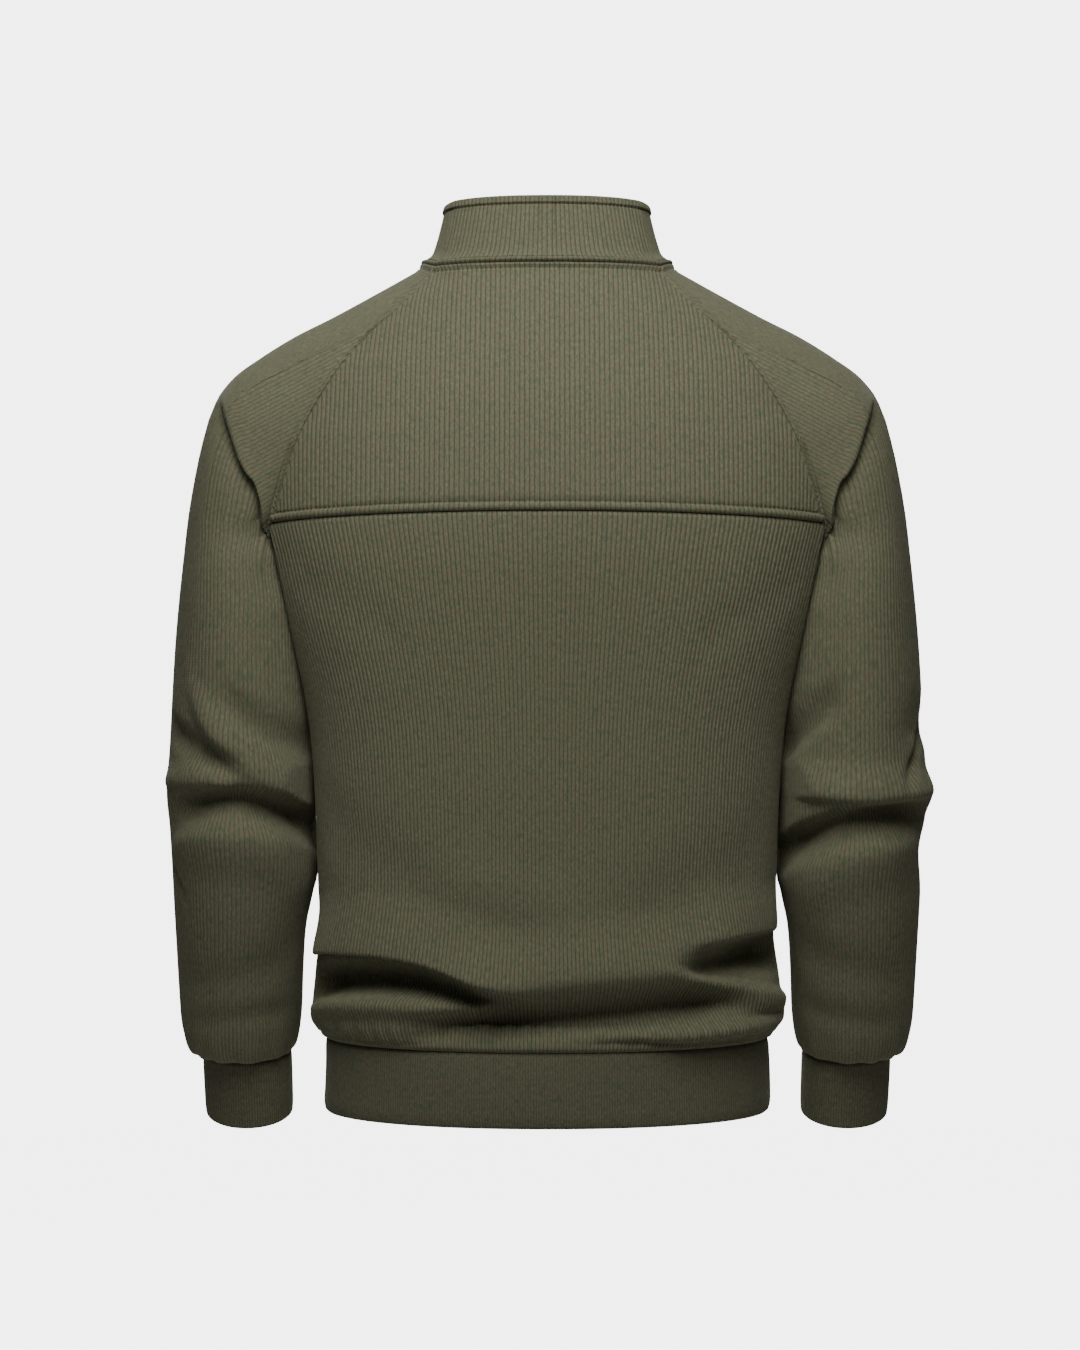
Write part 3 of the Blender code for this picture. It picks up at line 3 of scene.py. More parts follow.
import bmesh
import bpy
import numpy as np
from mathutils import Matrix, Vector
from mathutils.bvhtree import BVHTree


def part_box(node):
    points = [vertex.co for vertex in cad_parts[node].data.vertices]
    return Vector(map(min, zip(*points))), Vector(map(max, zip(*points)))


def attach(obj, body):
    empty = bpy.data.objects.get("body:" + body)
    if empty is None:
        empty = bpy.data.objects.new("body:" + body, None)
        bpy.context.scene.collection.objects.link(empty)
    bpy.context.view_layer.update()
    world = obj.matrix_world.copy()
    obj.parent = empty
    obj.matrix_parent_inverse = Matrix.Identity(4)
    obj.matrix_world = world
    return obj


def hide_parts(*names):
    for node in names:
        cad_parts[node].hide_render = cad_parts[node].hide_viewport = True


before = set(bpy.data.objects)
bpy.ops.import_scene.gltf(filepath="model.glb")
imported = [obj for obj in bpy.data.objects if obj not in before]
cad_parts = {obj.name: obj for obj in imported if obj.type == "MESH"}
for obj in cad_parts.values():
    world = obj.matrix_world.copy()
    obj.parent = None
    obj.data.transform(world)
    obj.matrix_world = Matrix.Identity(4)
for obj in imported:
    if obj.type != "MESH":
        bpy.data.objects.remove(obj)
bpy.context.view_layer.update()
print("frame loaded:", len(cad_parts), "nodes")

seamGap = 0.0003
sideGap = 0.0002                   # between the back and the front at the sides

# what the whole garment shares, in metres; z is 0 at the collar seam behind
garment = {
    "cloth": 0.0022,
    "ribPitch": 0.0039,
    "ribHeight": 0.0010,
    "yokeSeam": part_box("back_yoke")[0].z - seamGap,
    "underarm": -0.232,
    "hemSeam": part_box("hem_band")[1].z,
    "hemEdge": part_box("hem_band")[0].z,
    "neckFront": -0.075,
    "slitHalf": 0.0045,
    "slitEnd": -0.262,
    "yokeBow": 0.0065,             # how far the yoke's seam rises to the middle
}
yokeSeam = garment["yokeSeam"]
underarm = garment["underarm"]
hemSeam = garment["hemSeam"]


def table(columns, rows):
    values = np.array(rows, float)
    return {name: values[:, i] for i, name in enumerate(columns.split())}


# level sections of the body from the hem seam up
bodyTable = table("height halfWidth back front power", [
    (-0.6220, 0.1800, 0.1085, 0.1075, 2.15),
    (-0.6150, 0.1865, 0.1150, 0.1130, 2.15),
    (-0.6040, 0.1915, 0.1180, 0.1160, 2.15),
    (-0.5880, 0.1905, 0.1175, 0.1160, 2.20),
    (-0.5680, 0.1885, 0.1150, 0.1140, 2.20),
    (-0.5300, 0.1845, 0.1090, 0.1090, 2.25),
    (-0.5000, 0.1865, 0.1070, 0.1070, 2.30),
    (-0.4400, 0.1900, 0.1060, 0.1065, 2.35),
    (-0.3800, 0.1950, 0.1065, 0.1075, 2.40),
    (-0.3400, 0.2030, 0.1085, 0.1100, 2.45),
    (-0.3000, 0.2150, 0.1120, 0.1125, 2.50),
    (-0.2620, 0.2250, 0.1160, 0.1150, 2.60),
    (-0.2350, 0.2310, 0.1190, 0.1165, 2.60),
    (-0.2060, 0.2370, 0.1200, 0.1170, 2.60),
    (-0.1450, 0.2425, 0.1140, 0.1060, 2.50),
    (-0.1100, 0.2320, 0.1080, 0.0950, 2.40),
    (-0.0860, 0.2210, 0.1010, 0.0860, 2.40),
    (-0.0600, 0.1900, 0.0930, 0.0760, 2.30),
    (-0.0360, 0.1560, 0.0840, 0.0680, 2.30),
    (-0.0180, 0.1270, 0.0770, 0.0620, 2.30),
    (0.0000, 0.1020, 0.0680, 0.0550, 2.30),
])

# how far out the raglan seams are at each height
backRaglan = table("height out", [
    (-0.206, 0.2185), (-0.197, 0.2157), (-0.175, 0.2095), (-0.145, 0.1995), (-0.117, 0.1858),
    (-0.086, 0.1665), (-0.064, 0.1490), (-0.051, 0.1370), (-0.036, 0.1215), (-0.009, 0.0960),
    (0.000, 0.0890),
])
frontRaglan = table("height out", [
    (-0.206, 0.2070), (-0.175, 0.1990), (-0.145, 0.1870), (-0.110, 0.1680), (-0.080, 0.1450),
    (-0.055, 0.1220), (-0.035, 0.1020), (-0.018, 0.0840),
])

# rings of the left sleeve from the neck to the cuff: a point on its outer line, the lean of the
# ring at the shoulder, four radii, the middle, the pitch that the forearm's bend gives, squareness
sleeveTable = table("out height lean outer inner back front middle pitch power", [
    (0.1000, 0.0060, 70.0, 0.0560, 0.0450, 0.0600, 0.0560, -0.004, 0.0, 2.0),
    (0.1450, -0.0195, 62.0, 0.0660, 0.0450, 0.0760, 0.0640, -0.004, 0.0, 2.1),
    (0.1750, -0.0360, 60.0, 0.0740, 0.0450, 0.0795, 0.0695, -0.004, 0.0, 2.2),
    (0.2060, -0.0520, 57.0, 0.0750, 0.0450, 0.0820, 0.0740, -0.004, 0.0, 2.3),
    (0.2330, -0.0695, 51.0, 0.0740, 0.0470, 0.0815, 0.0780, -0.003, 0.0, 2.5),
    (0.2550, -0.0865, 42.0, 0.0700, 0.0500, 0.0810, 0.0805, -0.002, 0.0, 2.6),
    (0.2710, -0.1100, 27.0, 0.0600, 0.0560, 0.0795, 0.0830, -0.001, 0.0, 2.7),
    (0.2800, -0.1400, 16.0, 0.0540, 0.0560, 0.0775, 0.0835, 0.000, 0.0, 2.7),
    (0.2860, -0.1670, 10.0, 0.0500, 0.0550, 0.0760, 0.0820, 0.000, 0.0, 2.6),
    (0.2920, -0.2000, 5.0, 0.0480, 0.0500, 0.0740, 0.0780, 0.000, 0.0, 2.4),
    (0.2960, -0.2320, 0.0, 0.0475, 0.0475, 0.0740, 0.0740, 0.000, 0.0, 2.2),
    (0.2995, -0.2620, 0.0, 0.0505, 0.0505, 0.0740, 0.0740, 0.000, 0.0, 2.1),
    (0.3030, -0.2980, 0.0, 0.0530, 0.0530, 0.0730, 0.0730, 0.000, 0.0, 2.0),
    (0.3060, -0.3470, 0.0, 0.0555, 0.0555, 0.0700, 0.0700, 0.000, 0.0, 2.0),
    (0.3080, -0.3850, 0.0, 0.0570, 0.0570, 0.0670, 0.0670, 0.000, 2.0, 2.0),
    (0.3105, -0.4210, 0.0, 0.0585, 0.0585, 0.0660, 0.0660, 0.000, 5.0, 2.0),
    (0.3085, -0.4500, 0.0, 0.0575, 0.0575, 0.0645, 0.0645, -0.004, 9.0, 2.0),
    (0.3075, -0.4800, 0.0, 0.0565, 0.0565, 0.0620, 0.0620, -0.010, 12.0, 2.0),
    (0.3070, -0.5120, 0.0, 0.0550, 0.0550, 0.0600, 0.0600, -0.018, 14.0, 2.0),
    (0.3065, -0.5460, 0.0, 0.0525, 0.0525, 0.0570, 0.0570, -0.028, 15.0, 2.0),
    (0.3060, -0.5800, 0.0, 0.0510, 0.0510, 0.0540, 0.0540, -0.038, 15.0, 2.0),
    (0.3055, -0.6060, 0.0, 0.0500, 0.0500, 0.0520, 0.0520, -0.046, 14.0, 2.0),
    (0.3035, -0.6250, 0.0, 0.0475, 0.0475, 0.0500, 0.0500, -0.051, 12.0, 2.0),
    (0.2985, -0.6370, 0.0, 0.0430, 0.0430, 0.0450, 0.0450, -0.054, 11.0, 2.0),
    (0.2880, -0.6410, 0.0, 0.0365, 0.0365, 0.0350, 0.0350, -0.055, 11.0, 2.0),
])
armpitRing = 10.0
wholeRing = 11.0          # from here on a ring is level all round
ringNumbers = np.arange(len(sleeveTable["out"]), dtype=float)


def curve(at, places, values):     # a monotone cubic, flat beyond its ends
    at = np.clip(np.asarray(at, float), places[0], places[-1])
    step = np.diff(places)
    slope = np.diff(values) / step
    tangent = np.empty(len(places))
    tangent[0] = slope[0]
    tangent[-1] = slope[-1]
    before = slope[:-1]
    after = slope[1:]
    sameWay = before * after > 0
    total = np.where(sameWay, before + after, 1.0)
    tangent[1:-1] = np.where(sameWay, 2 * before * after / total, 0.0)
    i = np.clip(np.searchsorted(places, at, side="right") - 1, 0, len(places) - 2)
    t = (at - places[i]) / step[i]
    rest = 1 - t
    ends = values[i] * rest * rest * (1 + 2 * t) + values[i + 1] * t * t * (3 - 2 * t)
    bends = step[i] * (tangent[i] * t * rest * rest - tangent[i + 1] * t * t * rest)
    return ends + bends


def unit(vectors):
    length = np.linalg.norm(vectors, axis=-1, keepdims=True)
    return vectors / np.maximum(length, 1e-12)


def ease(t):
    t = np.clip(t, 0.0, 1.0)
    return t * t * (3 - 2 * t)


def lengthAlong(points):           # the length of a line of points, up to each of them
    return np.concatenate([[0.0], np.cumsum(np.linalg.norm(np.diff(points, axis=0), axis=1))])


def levelLength(x, y):             # the same for a level line
    return np.concatenate([[0.0], np.cumsum(np.hypot(np.diff(x), np.diff(y)))])


def readGrid(grid, row, column):   # a value between four points of a grid
    r, c = row.astype(int), column.astype(int)
    a, b = row - r, column - c
    low = grid[r, c] * (1 - b) + grid[r, c + 1] * b
    high = grid[r + 1, c] * (1 - b) + grid[r + 1, c + 1] * b
    return low * (1 - a) + high * a


def atEnds(x):
    return (x < 1e-6) | (x > 1 - 1e-6)


def roundedIn(distance, radius):   # how far a rounded edge is drawn in at this distance from it
    near = np.clip((radius - distance) / radius, 0.0, 1.0)
    return radius * (1 - np.sqrt(1 - near ** 2 * 0.99))


def bump(distance, halfWidth):     # a soft hill, 1 in the middle
    return ease(1 - np.abs(distance) / halfWidth)


def cord(distance, halfWidth):     # half a circle, 1 in the middle
    return np.sqrt(np.clip(1 - (distance / halfWidth) ** 2, 0.0, 1.0))


# Folds run along a line from start to end across the cloth, at three levels; they stand out by
# rise, over the half widths above and below, and droop by so much, so that a lip overhangs.
foldColumns = "start end startLevel middleLevel endLevel rise above below droop"
foldTaper = 0.25                   # share of a fold's length over which each end fades


def foldLift(folds, across, level):
    lift = np.zeros(np.broadcast(across, level).shape)
    sag = np.zeros(lift.shape)
    for start, end, first, middle, last, rise, above, below, droop in zip(*folds.values()):
        t = (across - start) / (end - start)
        line = first * (1 - t) * (1 - 2 * t) + middle * 4 * t * (1 - t) + last * t * (2 * t - 1)
        away = level - line
        width = np.where(away > 0, above, below)
        inside = np.clip(1 - np.abs(away) / (2 * width), 0.0, 1.0)
        live = ease(inside) * ease(t / foldTaper) * ease((1 - t) / foldTaper)
        lift = lift + rise * live
        sag = sag + droop * live
    return lift, sag


def ribs(phase, height):           # broad round ribs with narrow valleys, one to each whole phase
    return height * np.abs(np.sin(np.pi * phase)) ** 0.7


# the sleeve's rings, before the seams are met
def ringValue(name, ring):
    return curve(ring, ringNumbers, sleeveTable[name])


def plainRing(ring, angle):
    lean = np.radians(ringValue("lean", ring))
    turn = np.radians(angle)
    squareness = 2 / ringValue("power", ring)
    outer = ringValue("outer", ring)
    radius = np.where(np.cos(turn) > 0, outer, ringValue("inner", ring))
    reach = outer - radius * np.sign(np.cos(turn)) * np.abs(np.cos(turn)) ** squareness
    depth = np.where(turn < 0, ringValue("back", ring), ringValue("front", ring))
    along = -depth * np.sign(np.sin(turn)) * np.abs(np.sin(turn)) ** squareness
    x = ringValue("out", ring) - reach * np.cos(lean)
    y = ringValue("middle", ring) + along
    z = ringValue("height", ring) - reach * np.sin(lean)
    z = z - along * np.tan(np.radians(ringValue("pitch", ring)))
    return np.stack(np.broadcast_arrays(x, y, z), axis=-1)


# the body's sections, pushed clear of the hanging sleeves
sections = {
    "points": 161, "step": 0.002, "top": 0.0121,
    "firstClearance": 0.0009, "clearance": 0.0036,
    "openingDrop": 0.016,          # how far below the underarm the clearance is whole
    "hardness": 14,                # how sharply the body turns where a sleeve rests on it
}
sectionHeights = np.arange(garment["hemEdge"], sections["top"], sections["step"])
sectionShares = np.linspace(0.0, 1.0, sections["points"])


def pushedClear(x, y, height):
    level = min(height, underarm)
    hanging = slice(int(armpitRing), None)
    ring = float(np.interp(-level, -sleeveTable["height"][hanging], ringNumbers[hanging]))
    opened = ease((underarm - level) / sections["openingDrop"])
    least = sections["firstClearance"]
    room = least + (sections["clearance"] - least) * opened
    halfWidth = ringValue("inner", ring) + room
    halfDepth = np.where(y > 0, ringValue("back", ring), ringValue("front", ring)) + room
    power = ringValue("power", ring)
    middleX = ringValue("out", ring) - ringValue("outer", ring)
    middleY = ringValue("middle", ring)
    across = np.abs(x - middleX) / halfWidth
    along = np.abs(y - middleY) / halfDepth
    reach = (across ** power + along ** power) ** (1 / power)
    hardness = sections["hardness"]
    clear = (reach ** hardness + 1) ** (1 / hardness) / np.maximum(reach, 1e-6)
    return middleX + (x - middleX) * clear, middleY + (y - middleY) * clear


def bodySections(depthName, facing):
    turn = np.linspace(0.0, math.pi / 2, 400)
    xs, ys, lengths = [], [], []
    for height in sectionHeights:
        power, halfWidth, depth = [curve(height, bodyTable["height"], bodyTable[name])
                                   for name in ("power", "halfWidth", depthName)]
        x = halfWidth * np.sin(turn) ** (2 / power)
        y = facing * depth * np.cos(turn) ** (2 / power)
        x, y = pushedClear(x, y, height)
        x = x - x[0]
        run = levelLength(x, y)
        xs.append(np.interp(sectionShares * run[-1], run, x))
        ys.append(np.interp(sectionShares * run[-1], run, y))
        lengths.append(run[-1])
    return np.array(xs), np.array(ys), np.array(lengths)


def between(grid, height, share):
    row = np.clip((height - sectionHeights[0]) / sections["step"], 0, len(sectionHeights) - 1.001)
    column = np.clip(share * (sections["points"] - 1), 0, sections["points"] - 1.001)
    return readGrid(grid, row, column)


def makeSide(depthName, facing, raglan, neckHeight, folds):
    side = {"facing": facing, "folds": folds, "neckHeight": neckHeight}
    side["xs"], side["ys"], side["lengths"] = bodySections(depthName, facing)
    side["full"] = float(np.interp(raglan["height"][0], sectionHeights, side["lengths"]))
    heights = np.linspace(raglan["height"][-1], raglan["height"][0], 60)
    out = curve(heights, raglan["height"], raglan["out"])
    length = np.interp(heights, sectionHeights, side["lengths"])
    across = []
    for height, x, whole in zip(heights, out, length):
        row = between(side["xs"], np.full(sections["points"], height), sectionShares)
        widest = int(np.argmax(row)) + 1
        across.append(np.interp(x, row[:widest], sectionShares[:widest]) * whole)
    side["neckAcross"] = across[0]
    side["corner"] = across[-1]
    below = np.linspace(0.0, 1.0, 25)[1:]
    side["seamAcross"] = np.concatenate([across, across[-1] + (side["full"] - across[-1]) * below])
    drop = heights[-1] + (underarm - heights[-1]) * below ** 1.2
    side["seamHeight"] = np.concatenate([heights, drop])
    return side


def yokeLevel(side, across):       # the yoke's seam rises a little to the middle
    return yokeSeam + garment["yokeBow"] * np.clip(1 - (across / side["corner"]) ** 2, 0.0, 1.0)


def topOf(side, across):           # the panel's upper edge: the neck's curve, then the raglan seam
    across = np.abs(across)
    share = np.minimum(across / side["neckAcross"], 1.0)
    neck = side["neckHeight"] + (side["seamHeight"][0] - side["neckHeight"]) * share ** 2.2
    seam = np.interp(across, side["seamAcross"], side["seamHeight"])
    return np.where(across < side["neckAcross"], neck, seam)


def levelPoint(side, across, height):
    across, height = np.broadcast_arrays(np.asarray(across, float), np.asarray(height, float))
    length = np.interp(height, sectionHeights, side["lengths"])
    share = np.abs(across) / np.where(height > yokeSeam, length, side["full"])
    x = np.sign(across) * between(side["xs"], height, share)
    y = between(side["ys"], height, share)
    return np.stack([x, y, height], axis=-1)


def sideNormal(side, across, height, point):
    step = 0.0015
    along = point(side, across + step, height) - point(side, across - step, height)
    up = point(side, across, height + step) - point(side, across, height - step)
    return unit(np.cross(up, along) * side["facing"])


foldFade = {"hem": 0.010, "top": 0.020, "side": 0.055}   # folds die out this far from the edges


def foldedPoint(side, across, height):
    flat = levelPoint(side, across, height)
    live = ease((height - hemSeam) / foldFade["hem"])
    live = live * ease((topOf(side, across) - height) / foldFade["top"])
    live = live * ease((side["full"] - np.abs(across)) / foldFade["side"])
    lift, sag = foldLift(side["folds"], across, height)
    point = flat + (lift * live)[..., None] * sideNormal(side, across, height, levelPoint)
    point[..., 2] -= sag * live
    return point


backFolds = table(foldColumns, [
    (0.330, 0.000, -0.558, -0.5395, -0.580, 0.0120, 0.022, 0.0030, 0.0100),
    (0.330, 0.000, -0.585, -0.5650, -0.584, -0.0230, 0.0080, 0.013, 0.0),
    (0.330, 0.000, -0.606, -0.5840, -0.592, 0.0070, 0.006, 0.008, 0.0),
    (0.160, -0.240, -0.582, -0.5560, -0.552, 0.0105, 0.022, 0.012, 0.0060),
    (0.150, -0.250, -0.604, -0.5930, -0.580, -0.0220, 0.012, 0.011, 0.0),
    (0.000, -0.310, -0.612, -0.6080, -0.602, 0.0060, 0.004, 0.004, 0.0),
    (-0.125, -0.350, -0.530, -0.5260, -0.530, 0.0070, 0.018, 0.006, 0.0040),
    (-0.112, -0.350, -0.558, -0.5480, -0.553, -0.0220, 0.010, 0.013, 0.0),
    (-0.095, -0.340, -0.549, -0.5800, -0.594, 0.0090, 0.006, 0.010, 0.0),
    (0.160, -0.150, -0.612, -0.6120, -0.612, -0.0080, 0.013, 0.010, 0.0),
    (0.120, -0.060, -0.480, -0.5000, -0.520, 0.0022, 0.018, 0.018, 0.0),
    (0.260, 0.100, -0.430, -0.4700, -0.500, -0.0026, 0.022, 0.022, 0.0),
    (-0.250, -0.060, -0.460, -0.4900, -0.520, -0.0026, 0.022, 0.022, 0.0),
    (0.230, 0.120, -0.250, -0.2700, -0.300, -0.0016, 0.016, 0.016, 0.0),
    (-0.230, -0.120, -0.250, -0.2750, -0.310, -0.0016, 0.016, 0.016, 0.0),
])
frontFolds = table(foldColumns, [
    (0.330, -0.050, -0.560, -0.5460, -0.574, 0.0110, 0.020, 0.0030, 0.0080),
    (0.330, -0.045, -0.582, -0.5670, -0.584, -0.0170, 0.007, 0.012, 0.0),
    (0.330, -0.020, -0.604, -0.5880, -0.598, 0.0060, 0.007, 0.008, 0.0),
    (0.060, -0.330, -0.576, -0.5600, -0.548, 0.0100, 0.020, 0.0040, 0.0060),
    (0.060, -0.330, -0.600, -0.5840, -0.568, -0.0160, 0.008, 0.012, 0.0),
    (-0.020, -0.320, -0.611, -0.6040, -0.592, 0.0060, 0.005, 0.006, 0.0),
    (0.130, -0.130, -0.611, -0.6100, -0.611, -0.0040, 0.012, 0.006, 0.0),
    (0.240, 0.040, -0.440, -0.4800, -0.520, -0.0026, 0.022, 0.022, 0.0),
    (-0.240, -0.050, -0.450, -0.4850, -0.515, -0.0026, 0.022, 0.022, 0.0),
])
back = makeSide("back", 1, backRaglan, 0.0, backFolds)
front = makeSide("front", -1, frontRaglan, garment["neckFront"], frontFolds)
print("body sections worked out")


# where the sleeves meet the body
def readAt(values, place):
    i = np.clip(place.astype(int), 0, len(values) - 2)
    t = (place - i)[..., None]
    return values[i] * (1 - t) + values[i + 1] * t


def makeSeam(side):
    seam = {"across": side["seamAcross"], "height": side["seamHeight"]}
    seam["points"] = levelPoint(side, seam["across"], seam["height"])
    inner = np.minimum(seam["across"], side["full"] - 0.002)
    seam["bodyOut"] = sideNormal(side, inner, seam["height"], levelPoint)
    rings = np.arange(1.0, armpitRing + 1)
    met = [0.0]
    for ring, slope in zip(rings, np.radians(ringValue("lean", rings))):
        along = np.array([math.sin(slope), 0.0, -math.cos(slope)])
        edge = np.array([ringValue("out", ring), 0.0, ringValue("height", ring)])
        ahead = (seam["points"] - edge) @ along
        met.append(float(np.interp(0.0, ahead, np.arange(len(ahead)))))
    met[-1] = len(seam["points"]) - 1
    seam["rings"] = np.arange(0.0, armpitRing + 1)
    seam["places"] = np.array(met, float)
    meeting = readAt(seam["points"], seam["places"])
    lean = np.radians(ringValue("lean", seam["rings"]))
    outer = ringValue("outer", seam["rings"])
    middleX = ringValue("out", seam["rings"]) - outer * np.cos(lean)
    middleZ = ringValue("height", seam["rings"]) - outer * np.sin(lean)
    reach = (meeting[:, 0] - middleX) * np.cos(lean) + (meeting[:, 2] - middleZ) * np.sin(lean)
    radius = np.where(reach > 0, outer, ringValue("inner", seam["rings"]))
    depth = np.abs(meeting[:, 1] - ringValue("middle", seam["rings"]))
    power = ringValue("power", seam["rings"]) / 2
    name = "back" if side["facing"] > 0 else "front"
    roundPart = (depth / ringValue(name, seam["rings"])) ** power
    outPart = np.sign(reach) * np.abs(reach / radius) ** power
    seam["angles"] = np.degrees(np.arctan2(roundPart, outPart))
    seam["angles"][-1] = 180.0
    return seam


def seamRead(seam, name, ring):
    return readAt(seam[name], curve(ring, seam["rings"], seam["places"]))


def seamAngle(seam, ring):
    return curve(ring, seam["rings"], seam["angles"])


def seamRing(seam, angle):         # the ring whose end is at this angle
    fine = np.linspace(0.0, armpitRing, 400)
    return np.interp(angle, np.maximum.accumulate(seamAngle(seam, fine)), fine)


backSeam = makeSeam(back)
frontSeam = makeSeam(front)
meetingFade = 0.6                  # rings below the armpit in which the sleeve takes its own shape


def metRing(ring, angle):          # the ring, drawn to its raglan seams
    point = plainRing(ring, angle)
    upper = np.minimum(ring, armpitRing)
    fade = ease(1 - (ring - armpitRing) / meetingFade)
    for seam, sign in ((backSeam, -1), (frontSeam, 1)):
        end = seamAngle(seam, upper)
        miss = seamRead(seam, "points", upper) - plainRing(upper, sign * end)
        share = np.clip(np.abs(angle) / end, 0.0, 1.0) ** 2
        here = np.where(np.sign(angle) == sign, share * fade, 0.0)
        point = point + miss * here[..., None]
    return point


def ringNormal(ring, angle, shape=metRing):
    roundIt = shape(ring, angle + 1.0) - shape(ring, angle - 1.0)
    down = shape(ring + 0.04, angle) - shape(np.maximum(ring - 0.04, 0.0), angle)
    return unit(np.cross(roundIt, down))


def finishSeam(seam, sign):        # how nearly the sleeve and the body are one surface along it
    upper = np.interp(np.arange(len(seam["points"])), seam["places"], seam["rings"])
    angle = sign * seamAngle(seam, upper)
    sleeveOut = ringNormal(np.maximum(upper, 0.05), angle * 0.985)
    seam["flat"] = np.clip(np.sum(sleeveOut * seam["bodyOut"], axis=1), 0.0, 1.0)[:, None]


finishSeam(backSeam, -1)
finishSeam(frontSeam, 1)
print("raglan seams worked out")


# cloth: a flat wall in which x and y run 0 to 1 over the piece, then bent to its surface
def flatWall(columns, rows, cut=None):
    bm = bmesh.new()
    bmesh.ops.create_grid(bm, x_segments=columns, y_segments=rows, size=0.5)
    bmesh.ops.translate(bm, vec=(0.5, 0.5, 0.0), verts=bm.verts)
    if cut:
        gone = [face for face in bm.faces if cut(*face.calc_center_median()[:2])]
        bmesh.ops.delete(bm, geom=gone, context="FACES")
    bmesh.ops.solidify(bm, geom=bm.faces[:], thickness=1.0)
    outside = [edge for edge in bm.edges if all(abs(v.co.z) < 0.01 for v in edge.verts)]
    bmesh.ops.subdivide_edges(bm, edges=outside, cuts=1, use_grid_fill=True)
    return bm


def clothPiece(name, columns, rows, surface, material, closed=False, cut=None):
    bm = flatWall(columns, rows, cut)
    if closed:
        rim = [face for face in bm.faces if all(atEnds(v.co.x) for v in face.verts)]
        bmesh.ops.delete(bm, geom=rim, context="FACES")
    mesh = bpy.data.meshes.new(name)
    bm.to_mesh(mesh)
    bm.free()
    place = np.empty(len(mesh.vertices) * 3)
    mesh.vertices.foreach_get("co", place)
    x, y, z = place.reshape(-1, 3).T
    points, flat = surface(x, y, np.abs(z) > 0.5)
    corner = np.empty(len(mesh.loops), np.int32)
    mesh.loops.foreach_get("vertex_index", corner)
    layer = mesh.uv_layers.new(name="flat")
    layer.data.foreach_set("uv", flat[corner].astype(np.float32).ravel())
    mesh.vertices.foreach_set("co", points.astype(np.float32).ravel())
    bm = bmesh.new()
    bm.from_mesh(mesh)
    if closed:
        bm.verts.ensure_lookup_table()
        meeting = [bm.verts[i] for i in np.flatnonzero(atEnds(x))]
        bmesh.ops.remove_doubles(bm, verts=meeting, dist=1e-5)
    bmesh.ops.recalc_face_normals(bm, faces=bm.faces)
    bm.to_mesh(mesh)
    bm.free()
    mesh.materials.append(material)
    mesh.shade_smooth()
    piece = bpy.data.objects.new(name, mesh)
    bpy.context.scene.collection.objects.link(piece)
    return piece


def newPiece(name, bm, material):
    mesh = bpy.data.meshes.new(name)
    bm.to_mesh(mesh)
    bm.free()
    mesh.materials.append(material)
    piece = bpy.data.objects.new(name, mesh)
    bpy.context.scene.collection.objects.link(piece)
    return piece


def settle(piece, node):
    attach(piece, "garment")
    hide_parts(node)
    print(piece.name, "made:", len(piece.data.polygons), "faces")


# knit
def addSocket(group, name, kind, use, value=None):
    socket = group.interface.new_socket(name=name, in_out=use, socket_type=kind)
    if value is not None:
        socket.default_value = value


def link(tree, source, target):
    tree.links.new(source, target)


def mathNode(tree, operation, first, second=None, third=None):
    node = tree.nodes.new("ShaderNodeMath")
    node.operation = operation
    for i, value in enumerate((first, second, third)):
        if isinstance(value, bpy.types.NodeSocket):
            link(tree, value, node.inputs[i])
        elif value is not None:
            node.inputs[i].default_value = value
    return node.outputs[0]


def noise(tree, vector, scale, detail, roughness=0.5):
    node = tree.nodes.new("ShaderNodeTexNoise")
    for name, value in (("Scale", scale), ("Detail", detail), ("Roughness", roughness)):
        node.inputs[name].default_value = value
    link(tree, vector, node.inputs["Vector"])
    return node.outputs["Fac"]


